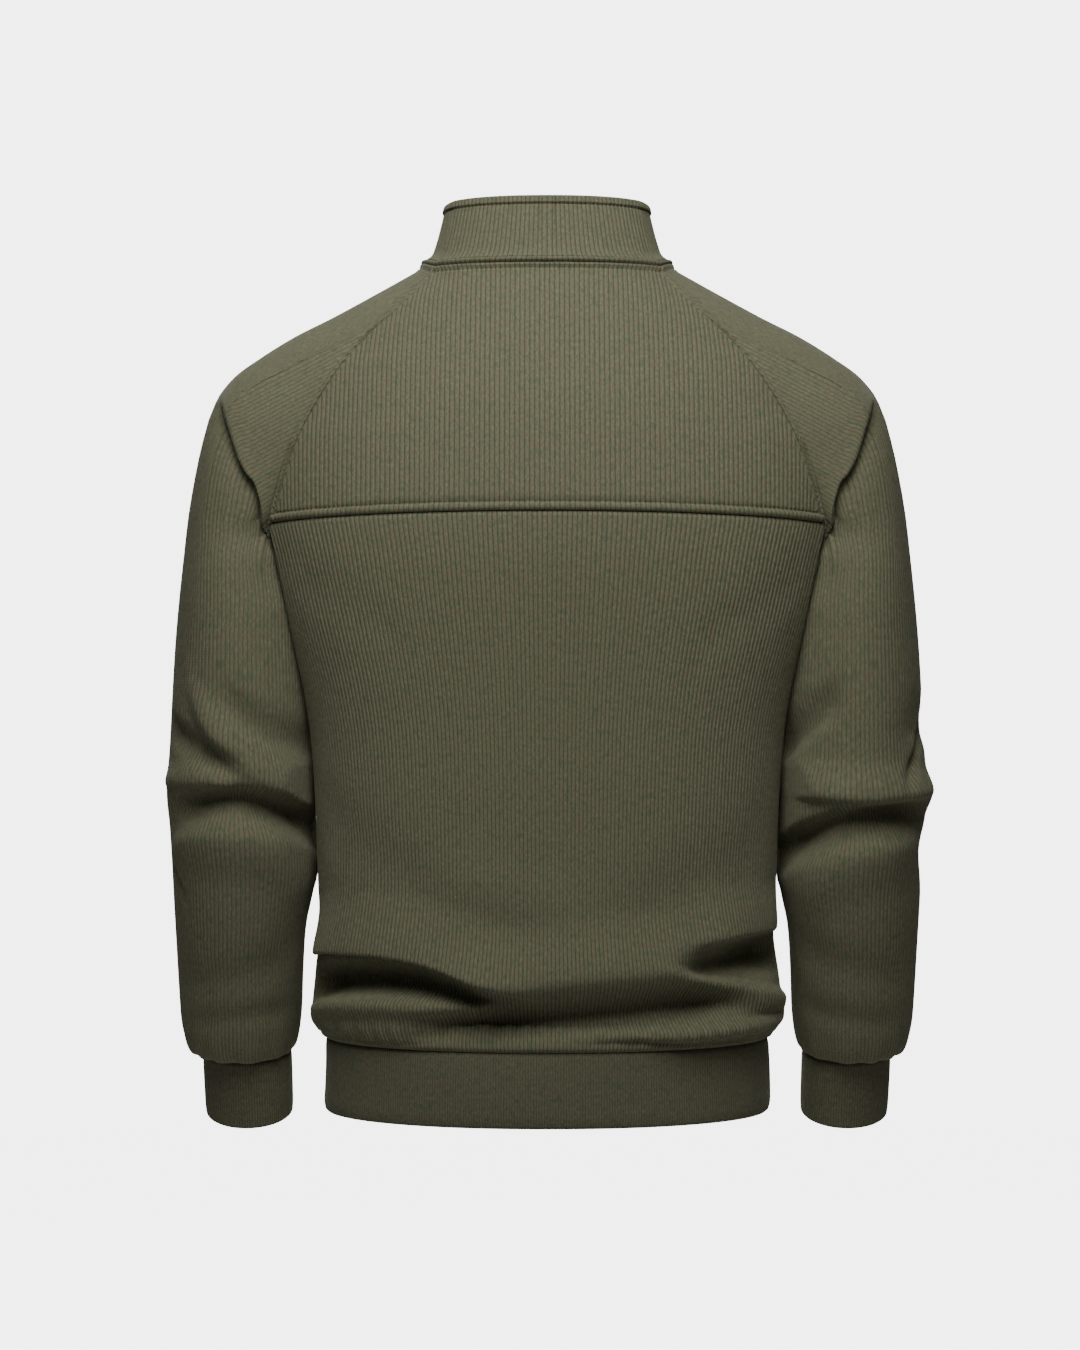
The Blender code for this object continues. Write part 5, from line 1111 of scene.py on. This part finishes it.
def makeSleeve(name, node, sign, folds):
    count = round(evenAngles(10)[1] / sleeves["ribPitch"])
    rows = sleeves["capRows"] + 1 + sleeves["underRows"] + sleeves["armRows"]
    angleAt, around = evenAngles(4 * count)
    shape = sleeveShape(folds)
    inner = sleeveShape(folds, lapped=False)
    armShares, armDepths = rowPlaces([(0.0, 0.262), (0.10, 0.325), (0.70, 0.490), (0.86, 0.600),
                                      (1.0, 0.641)])
    armRings = np.interp(armDepths, -sleeveTable["height"], ringNumbers)
    half = angleAt[angleAt <= 0]
    run = (-half[::-1], (1 - np.arange(len(half))[::-1] / (len(half) - 1)))

    def surface(x, y, inside):
        arm = np.interp(x, np.arange(4 * count + 1) / (4 * count), angleAt)
        side = np.where(arm < 0, -1.0, 1.0)
        magnitude = np.abs(arm)
        behind = capRib(caps[-1], magnitude, run)
        ahead = capRib(caps[1], magnitude, run)
        start, meets, offset, live = [np.where(arm < 0, a, b) for a, b in zip(behind, ahead)]
        first, onNeck = firstRing(side * start)
        crease = curve(meets, capCrease["angle"], capCrease["ring"])
        crease = np.maximum(crease, first + sleeves["capStep"])
        row = y * rows
        seamRows, capRows, underRows = [sleeves[part + "Rows"] for part in ("seam", "cap", "under")]
        under = capRows + 1 + underRows
        lap = sleeves["lapHalf"]
        near = first + np.minimum(sleeves["seamRings"], 0.4 * (crease - lap - first))
        ring = np.select(
            [row <= seamRows, row <= capRows, row <= capRows + 1, row <= under],
            [first + (near - first) * row / seamRows,
             near + (crease - lap - near) * (row - seamRows) / (capRows - seamRows),
             crease + lap * (2 * (row - capRows) - 1),
             crease + lap + (wholeRing - crease - lap) * (row - capRows - 1) / underRows],
            np.interp((row - under) / sleeves["armRows"], armShares, armRings))
        along = np.clip((ring - first) / (crease - lap - first), 0.0, 1.0)
        straight = start + (meets - start) * along
        held = np.where(arm < 0, heldAngle(caps[-1], ring, offset),
                        heldAngle(caps[1], ring, offset))
        onCap = straight + (held - straight) * live * ease(along / 0.1) * ease((1 - along) / 0.1)
        toArm = ease((ring - crease) / (wholeRing + meetingFade - crease))
        angle = side * np.where(row <= capRows, onCap, meets + (magnitude - meets) * toArm)
        # the cap has two ribs for each of the arm's, which end at its crease
        onArm = ring > crease
        phase = x * count * np.where(onArm, 1.0, 2.0)
        down = (ring - first) * sleeves["ringLength"]
        up = (ringNumbers[-1] - ring) * sleeves["cuffLength"]
        flat = seamFlat(angle)
        square, alongSeam = fromSeam(ring, angle, first, side)
        rib = ribs(phase, garment["ribHeight"]) * ease(up / 0.006)
        rib = rib * (1 - sleeves["armFlat"] * ease((ring - crease) / 0.8))
        rib = rib * (1 - 0.4 * bump(ring - crease, 0.15)) * np.where(onArm, 1.0, sleeves["capFlat"])
        ropeHere = np.where(onNeck, 0.0, ease((flat - 0.1) / 0.3))
        pastRope = square - 2 * rope["half"]
        beside = ropeHere * ease(pastRope / 0.0012) + (1 - ropeHere) * ease(down / 0.015)
        rib = rib * np.where(onNeck, ease(down / 0.003), beside)
        turns = alongSeam / rope["leaf"] + square / rope["slant"]
        leaf = 0.62 + 0.38 * np.cos(2 * np.pi * turns)
        rise = rib + ropeHere * rope["rise"] * leaf * cord(square - rope["half"], rope["half"])
        rise = rise - rope["groove"] * ropeHere * bump(pastRope - 0.0004, rope["grooveHalf"])
        fromNeck = (ring - first) * sleeves["neckLength"]
        rise = rise + np.where(onNeck, neckRise(fromNeck, phase), 0.0)
        outPoint = shape(ring, angle)
        out = ringNormal(np.maximum(ring, 0.02), angle, shape)
        inPoint = inner(ring, angle)
        inOut = ringNormal(np.maximum(ring, 0.02), angle)
        points = np.where(inside[:, None], inPoint - garment["cloth"] * inOut,
                          outPoint + rise[:, None] * out)
        points = points * np.array([sign, 1.0, 1.0])
        level = -ring * sleeves["flatRing"]
        return points, np.stack([phase * garment["ribPitch"], level], axis=1)

    piece = clothPiece(name, 2 * count, rows, surface, sleeveKnit, closed=True)
    settle(piece, node)


makeSleeve("raglan_sleeve_left", "sleeve_left", 1, leftFolds)
makeSleeve("raglan_sleeve_right", "sleeve_right", -1, rightFolds)

# collar
collar = {
    "thickness": 0.0040, "ribPitch": 0.0041, "ribHeight": 0.0010,
    "topBack": 0.056, "topFront": -0.010,
    "rows": 24,
    "weltHeight": 0.0066, "welt": 0.0014, "groove": 0.0012, "edgeRadius": 0.0020,
    "dropStart": -0.084, "dropRun": 0.060,
    "flare": 0.0048, "flareReach": 0.0130,
    "cord": 0.0015, "cordMiddle": 0.0015, "cordHalf": 0.0015,
    "footGroove": 0.0010, "footMiddle": 0.0040, "footHalf": 0.0014,
    "leanAcross": 0.175, "leanAlong": 0.125,   # how far the top draws in, as shares
    "backward": 0.001,
}


def neckCurve():
    frontAcross = np.linspace(garment["slitHalf"], front["neckAcross"], 24)
    frontPart = levelPoint(front, frontAcross, topOf(front, frontAcross))
    turn = np.linspace(frontSeam["angles"][0], -backSeam["angles"][0], 20)[1:-1]
    shoulder = metRing(np.zeros(len(turn)), turn)
    backAcross = np.linspace(back["neckAcross"], 0.0, 24)
    backPart = levelPoint(back, backAcross, topOf(back, backAcross))
    half = np.concatenate([frontPart, shoulder, backPart])
    return np.concatenate([half, half[-2::-1] * np.array([-1.0, 1.0, 1.0])])


neckLine = neckCurve()
neckRun = lengthAlong(neckLine)


def collarPoint(share, up):
    baseX, baseY, baseZ = [np.interp(share * neckRun[-1], neckRun, line) for line in neckLine.T]
    roundNeck = np.clip((baseY - collar["dropStart"]) / collar["dropRun"], 0.0, 1.0)
    topHeight = collar["topFront"] + (collar["topBack"] - collar["topFront"]) * ease(roundNeck)
    inward = np.power(np.maximum(up, 0.0), 0.6)
    x = baseX * (1 - collar["leanAcross"] * inward)
    y = baseY * (1 - collar["leanAlong"] * inward) - collar["backward"] * inward
    x = np.where(np.abs(baseX) < garment["slitHalf"] * 1.5, baseX, x)
    z = baseZ + seamGap + (topHeight - baseZ) * up
    return np.stack(np.broadcast_arrays(x, y, z), axis=-1)


def makeCollar():
    count = round(neckRun[-1] / collar["ribPitch"])
    tall = collar["topBack"]
    shares, places = rowPlaces([(0.0, 0.0), (0.34, 0.13), (0.58, 0.80), (1.0, 1.0)])

    def surface(x, y, inside):
        up = np.interp(y, shares, places)
        point = collarPoint(x, up)
        after, before = np.minimum(x + 0.004, 1.0), np.maximum(x - 0.004, 0.0)
        over, under = np.minimum(up + 0.05, 1.0), np.maximum(up - 0.05, 0.0)
        along = collarPoint(after, up) - collarPoint(before, up)
        rising = collarPoint(x, over) - collarPoint(x, under)
        out = unit(np.cross(along, rising))
        height = up * tall
        fromTop = tall - height
        phase = x * count
        rib = ribs(phase, collar["ribHeight"])
        rib = rib * (0.25 + 0.75 * ease((height - 0.002) / 0.004)) * ease((fromTop + 0.002) / 0.004)
        rise = rib + collar["welt"] * ease((collar["weltHeight"] - fromTop + 0.0006) / 0.0012)
        rise = rise - collar["groove"] * bump(fromTop - collar["weltHeight"] - 0.0004, 0.0013)
        rise = rise + collar["flare"] * (1 - ease(height / collar["flareReach"]))
        rise = rise + collar["cord"] * cord(height - collar["cordMiddle"], collar["cordHalf"])
        rise = rise - collar["footGroove"] * bump(height - collar["footMiddle"], collar["footHalf"])
        drawnIn = roundedIn(fromTop, collar["edgeRadius"])
        offset = np.where(inside, -collar["thickness"] + drawnIn, rise - drawnIn)
        points = point + offset[:, None] * out
        points[:, 0] = np.where(atEnds(x), np.sign(0.5 - x) * garment["slitHalf"], points[:, 0])
        return points, np.stack([phase * garment["ribPitch"], height], axis=1)

    piece = clothPiece("stand_collar", 2 * count, collar["rows"], surface, ribKnit)
    settle(piece, "collar")


makeCollar()

# hem band and cuffs
hemBand = {
    "thickness": 0.0028, "ribPitch": 0.0021, "ribHeight": 0.0005, "rows": 9, "power": 2.15,
    "edgeRadius": 0.0014,
    "wave": 0.0012,                # how far the band waves in and out round the hem
    "outlinePoints": 1601, "levels": 31,
    "rowShares": (0.0, 0.78, 1.0), "rowPlaces": (0.0, 0.90, 1.0),   # closer rows at the edge
}
hemTable = table("height halfWidth back front", [
    (-0.6220, 0.1800, 0.1085, 0.1075),
    (-0.6290, 0.1808, 0.1090, 0.1080),
    (-0.6740, 0.1822, 0.1100, 0.1090),
    (-0.6815, 0.1806, 0.1086, 0.1076),
])


def bandDown(y):                   # how far down the band a row is, as a share
    return np.interp(y, hemBand["rowShares"], hemBand["rowPlaces"])


def bandRib(phase, down, up):
    rib = ribs(phase, hemBand["ribHeight"])
    return rib * ease(down / 0.003) * (0.5 + 0.5 * ease(up / 0.003))


def hemOutline(height):            # a fine level outline, by share of its length
    turn = np.linspace(0.0, 2 * math.pi, hemBand["outlinePoints"])
    power = 2 / hemBand["power"]
    halfWidth, behind, ahead = [np.interp(-height, -hemTable["height"], hemTable[name])
                                for name in ("halfWidth", "back", "front")]
    x = halfWidth * np.sign(np.sin(turn)) * np.abs(np.sin(turn)) ** power
    depth = np.where(np.cos(turn) > 0, behind, ahead)
    y = depth * np.sign(np.cos(turn)) * np.abs(np.cos(turn)) ** power
    run = levelLength(x, y)
    return run / run[-1], x, y, run[-1]


def makeHemBand():
    around = hemOutline(hemSeam)[3]
    count = round(around / hemBand["ribPitch"])
    top = hemSeam
    edge = garment["hemEdge"]
    levels = np.linspace(edge, top, hemBand["levels"])
    outlines = [hemOutline(level) for level in levels]
    shares = np.linspace(0.0, 1.0, hemBand["outlinePoints"])
    xs = np.array([np.interp(shares, run, x) for run, x, _, _ in outlines])
    ys = np.array([np.interp(shares, run, y) for run, _, y, _ in outlines])

    def flatPoint(share, height):
        share = share % 1.0
        row = np.clip((height - edge) / (top - edge), 0, 1) * (len(levels) - 1.001)
        column = share * (len(shares) - 1.001)
        wave = hemBand["wave"] * np.sin(2 * np.pi * (3 * share + 0.15))
        wave = wave * np.sin(np.pi * (height - edge) / (top - edge))
        place = [readGrid(grid, row, column) for grid in (xs, ys)]
        return np.stack([*place, height], axis=-1), wave

    def surface(x, y, inside):
        height = top + (edge - top) * bandDown(y)
        point, wave = flatPoint(x, height)
        along = flatPoint(x + 0.002, height)[0] - flatPoint(x - 0.002, height)[0]
        out = unit(np.stack([-along[:, 1], along[:, 0], np.zeros(len(x))], axis=1))
        phase = x * count
        down = top - height
        up = height - edge
        rise = bandRib(phase, down, up) + wave
        drawnIn = roundedIn(up, hemBand["edgeRadius"])
        offset = np.where(inside, wave - hemBand["thickness"] + drawnIn, rise - drawnIn)
        points = point + offset[:, None] * out
        return points, np.stack([phase * hemBand["ribPitch"], height], axis=1)

    piece = clothPiece("hem_rib_band", count, hemBand["rows"], surface, fineRib, closed=True)
    settle(piece, "hem_band")


makeHemBand()

cuffTable = table("across along height halfWidth halfDepth pitch", [
    (0.2515, -0.0550, -0.6415, 0.0365, 0.0345, 11.0),
    (0.2515, -0.0580, -0.6530, 0.0368, 0.0330, 13.0),
    (0.2515, -0.0690, -0.6850, 0.0366, 0.0320, 17.0),
    (0.2515, -0.0725, -0.6960, 0.0358, 0.0312, 18.0),
])
cuffs = {"rows": 9, "radius": 0.0350}


def makeCuff(name, node, sign):
    around = 2 * math.pi * cuffs["radius"]
    count = round(around / hemBand["ribPitch"])
    downward = -cuffTable["height"]
    long = downward[-1] - downward[0]

    def surface(x, y, inside):
        down = bandDown(y) * long
        read = {key: curve(down + downward[0], downward, cuffTable[key]) for key in cuffTable}
        turn = 2 * np.pi * x
        phase = x * count
        up = long - down
        rise = bandRib(phase, down, up)
        drawnIn = roundedIn(up, hemBand["edgeRadius"])
        offset = np.where(inside, drawnIn - hemBand["thickness"], rise - drawnIn)
        px = read["across"] + (read["halfWidth"] + offset) * np.cos(turn)
        py = (read["halfDepth"] + offset) * np.sin(turn)
        pz = -(down + downward[0]) - seamGap - py * np.tan(np.radians(read["pitch"]))
        points = np.stack([sign * px, read["along"] + py, pz], axis=1)
        return points, np.stack([phase * hemBand["ribPitch"], down], axis=1)

    piece = clothPiece(name, count, cuffs["rows"], surface, fineRib, closed=True)
    settle(piece, node)


makeCuff("rib_cuff_left", "cuff_left", 1)
makeCuff("rib_cuff_right", "cuff_right", -1)

# zip
zipLook = {
    "metalDark": (0.140, 0.136, 0.120, 1.0), "metalPale": (0.26, 0.253, 0.228, 1.0),
    "wear": (900.0, 4.0), "wearRange": (0.4, 0.65, 0.0, 1.0), "roughRange": (0.35, 0.7, 0.52, 0.74),
    "tapeDark": (0.060, 0.062, 0.038, 1.0), "tapePale": (0.085, 0.087, 0.055, 1.0),
    "weaveScale": 420.0, "weaveDistortion": 1.0,
    "thread": (0.150, 0.150, 0.095, 1.0),
    "wornEdge": 0.00018,
}


def objectPlace(tree):
    return tree.nodes.new("ShaderNodeTexCoord").outputs["Object"]


metal, metalTree, metalShader = newMaterial("antique metal", 0.6, 0.85)
wear = noise(metalTree, objectPlace(metalTree), *zipLook["wear"])
worn = mixColour(metalTree, remap(metalTree, wear, *zipLook["wearRange"]),
                 zipLook["metalDark"], zipLook["metalPale"])
link(metalTree, worn, metalShader.inputs["Base Color"])
link(metalTree, remap(metalTree, wear, *zipLook["roughRange"]), metalShader.inputs["Roughness"])

tape, tapeTree, tapeShader = newMaterial("zip tape", 0.9)
weave = tapeTree.nodes.new("ShaderNodeTexWave")
weave.inputs["Scale"].default_value = zipLook["weaveScale"]
weave.inputs["Distortion"].default_value = zipLook["weaveDistortion"]
link(tapeTree, objectPlace(tapeTree), weave.inputs["Vector"])
woven = mixColour(tapeTree, weave.outputs["Fac"], zipLook["tapeDark"], zipLook["tapePale"])
link(tapeTree, woven, tapeShader.inputs["Base Color"])
thread, _, threadShader = newMaterial("thread", 0.75)
threadShader.inputs["Base Color"].default_value = zipLook["thread"]
for node, material in (("zip_tape_left", tape), ("zip_tape_right", tape),
                       ("zip_slider", metal), ("zip_pull_tab", metal)):
    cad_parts[node].data.materials.clear()
    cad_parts[node].data.materials.append(material)
for node in ("zip_slider", "zip_pull_tab"):
    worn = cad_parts[node].modifiers.new("worn edges", "BEVEL")
    worn.affect = "EDGES"
    worn.width = zipLook["wornEdge"]
    worn.segments = 2
    worn.profile = 0.5
    worn.material = -1
    worn.limit_method = "ANGLE"


def treeOf(things):
    points, faces = [], []
    for thing in things:
        first = len(points)
        points += [thing.matrix_world @ v.co for v in thing.data.vertices]
        faces += [[first + i for i in face.vertices] for face in thing.data.polygons]
    return BVHTree.FromPolygons(points, faces)


def fromFront(tree, x, z):         # the first point that is met from the front, and its way out
    place, out, _, _ = tree.ray_cast(Vector((x, -0.4, z)), Vector((0.0, 1.0, 0.0)))
    return place, out


zipTeeth = {
    "pitch": 0.0015, "long": 0.00105, "wide": 0.0026, "deep": 0.0015, "edge": 0.00025,
    "past": 0.0004,                # how far a tooth reaches over the middle line
}


def makeTeeth():
    tree = treeOf([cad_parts["zip_chain"]])
    low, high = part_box("zip_chain")
    levels = np.arange(low.z + zipTeeth["pitch"], high.z - zipTeeth["pitch"], zipTeeth["pitch"] / 2)
    bm = bmesh.new()
    for i, level in enumerate(levels):
        side = 1 if i % 2 else -1
        lower, _ = fromFront(tree, 0.0, level - 0.0005)
        upper, _ = fromFront(tree, 0.0, level + 0.0005)
        if lower is None or upper is None:
            continue
        up = (upper - lower).normalized()
        out = Vector((1.0, 0.0, 0.0)).cross(up)
        turn = Matrix((Vector((1.0, 0.0, 0.0)), up, out)).transposed()
        middle = (lower + upper) / 2 - out * zipTeeth["deep"] / 2
        middle.x = side * (zipTeeth["wide"] / 2 - zipTeeth["past"])
        size = (zipTeeth["wide"], zipTeeth["long"], zipTeeth["deep"])
        bmesh.ops.create_cube(bm, size=1.0, matrix=Matrix.LocRotScale(middle, turn, size))
    bmesh.ops.bevel(bm, geom=bm.edges[:], offset=zipTeeth["edge"], segments=1, profile=0.5,
                    affect="EDGES", material=-1)
    teeth = newPiece("zip_teeth", bm, metal)
    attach(teeth, "garment")
    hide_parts("zip_chain")
    print("zip_teeth made:", len(teeth.data.polygons), "faces")


makeTeeth()

stitching = {
    "aside": 0.0042,               # of the slit's edge
    "below": 0.0075, "top": -0.030, "pitch": 0.0032, "long": 0.0023,
    "radius": 0.00024, "breadth": 1.3, "proud": 0.6,
}


def makeStitches():
    tree = treeOf([bpy.data.objects["whole_front"], bpy.data.objects["stand_collar"]])
    aside = garment["slitHalf"] + stitching["aside"]
    bottom = garment["slitEnd"] - stitching["below"]
    upward = np.arange(bottom, stitching["top"], stitching["pitch"])
    count = round(2 * aside / stitching["pitch"])
    runs = [[(side * aside, level) for level in upward] for side in (-1, 1)]
    runs.append([(x, bottom) for x in np.linspace(-aside, aside, count + 1)])
    bm = bmesh.new()
    for run in runs:
        for (firstX, firstZ), (lastX, lastZ) in zip(run, run[1:]):
            first, out = fromFront(tree, firstX, firstZ)
            last, _ = fromFront(tree, lastX, lastZ)
            if first is None or last is None or (last - first).length > 2 * stitching["pitch"]:
                continue
            along = (last - first).normalized()
            across = along.cross(out).normalized()
            out = across.cross(along)
            turn = Matrix((across, along, out)).transposed()
            middle = (first + last) / 2 + out * stitching["radius"] * stitching["proud"]
            size = (stitching["radius"] * stitching["breadth"], stitching["long"] / 2,
                    stitching["radius"])
            bmesh.ops.create_uvsphere(
                bm, u_segments=6, v_segments=6, radius=1.0,
                matrix=Matrix.LocRotScale(middle, turn, size))
    stitches = newPiece("zip_stitches", bm, thread)
    stitches.data.shade_smooth()
    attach(stitches, "garment")
    print("zip_stitches made:", len(stitches.data.polygons), "faces")


makeStitches()

# floor, light and camera
studio = {
    "backdrop": (5.0, 5.0, 5.0, 1.0),
    "floorHeight": -1.35, "floorRadius": 4.0, "floorGlow": 4.9,
    "paper": (0.86, 0.86, 0.86, 1.0),
    "ambient": 0.030,
    "aim": (0.0, 0.0, -0.33),      # of every lamp
    "key": 16.0, "keyPlace": (0.03, 0.92, 0.56), "keySize": 0.75,
    "fill": 2.0, "fillPlace": (-0.3, 2.6, 0.3), "fillSize": 2.0,
    "front": 30.0, "frontPlace": (0.2, -1.3, 0.75), "frontSize": 1.8,
}
paper, paperTree, paperShader = newMaterial("pale paper", 1.0)
paperShader.inputs["Base Color"].default_value = studio["paper"]
paperShader.inputs["Emission Strength"].default_value = studio["floorGlow"]
# for the camera alone the floor glows, about as bright as the backdrop
lens = paperTree.nodes.new("ShaderNodeLightPath")
glow = mixColour(paperTree, lens.outputs["Is Camera Ray"], (0.0, 0.0, 0.0, 1.0),
                 (1.0, 1.0, 1.0, 1.0))
link(paperTree, glow, paperShader.inputs["Emission Color"])
bm = bmesh.new()
bmesh.ops.create_circle(bm, cap_ends=True, segments=96, radius=studio["floorRadius"])
bmesh.ops.translate(bm, vec=(0.0, 0.0, studio["floorHeight"]), verts=bm.verts)
newPiece("floor", bm, paper)

world = bpy.data.worlds.new("studio")
bpy.context.scene.world = world
world.use_nodes = True
sky = world.node_tree
seen = sky.nodes.new("ShaderNodeLightPath")
shown = sky.nodes.new("ShaderNodeBackground")
shown.inputs["Color"].default_value = studio["backdrop"]
mixed = sky.nodes.new("ShaderNodeMixShader")
lit = sky.nodes["Background"]
lit.inputs["Color"].default_value = (1.0, 1.0, 1.0, 1.0)
lit.inputs["Strength"].default_value = studio["ambient"]
link(sky, seen.outputs["Is Camera Ray"], mixed.inputs[0])
link(sky, lit.outputs[0], mixed.inputs[1])
link(sky, shown.outputs[0], mixed.inputs[2])
link(sky, mixed.outputs[0], sky.nodes["World Output"].inputs["Surface"])


def softLight(name, power, place, size):
    lamp = bpy.data.lights.new(name, "AREA")
    lamp.energy = power
    lamp.size = size
    thing = bpy.data.objects.new(name, lamp)
    thing.location = place
    toward = Vector(studio["aim"]) - Vector(place)
    thing.rotation_euler = toward.to_track_quat("-Z", "Y").to_euler()
    bpy.context.scene.collection.objects.link(thing)


for name in ("key", "fill", "front"):
    softLight(name, studio[name], studio[name + "Place"], studio[name + "Size"])

view = {"place": (0.0057, 2.2, -0.327), "lens": 71.55}
cameraData = bpy.data.cameras.new("camera")
cameraData.lens = view["lens"]
camera = bpy.data.objects.new("camera", cameraData)
camera.location = view["place"]
camera.rotation_euler = (math.radians(90.0), 0.0, math.radians(180.0))
bpy.context.scene.collection.objects.link(camera)
bpy.context.scene.camera = camera
print("studio ready")
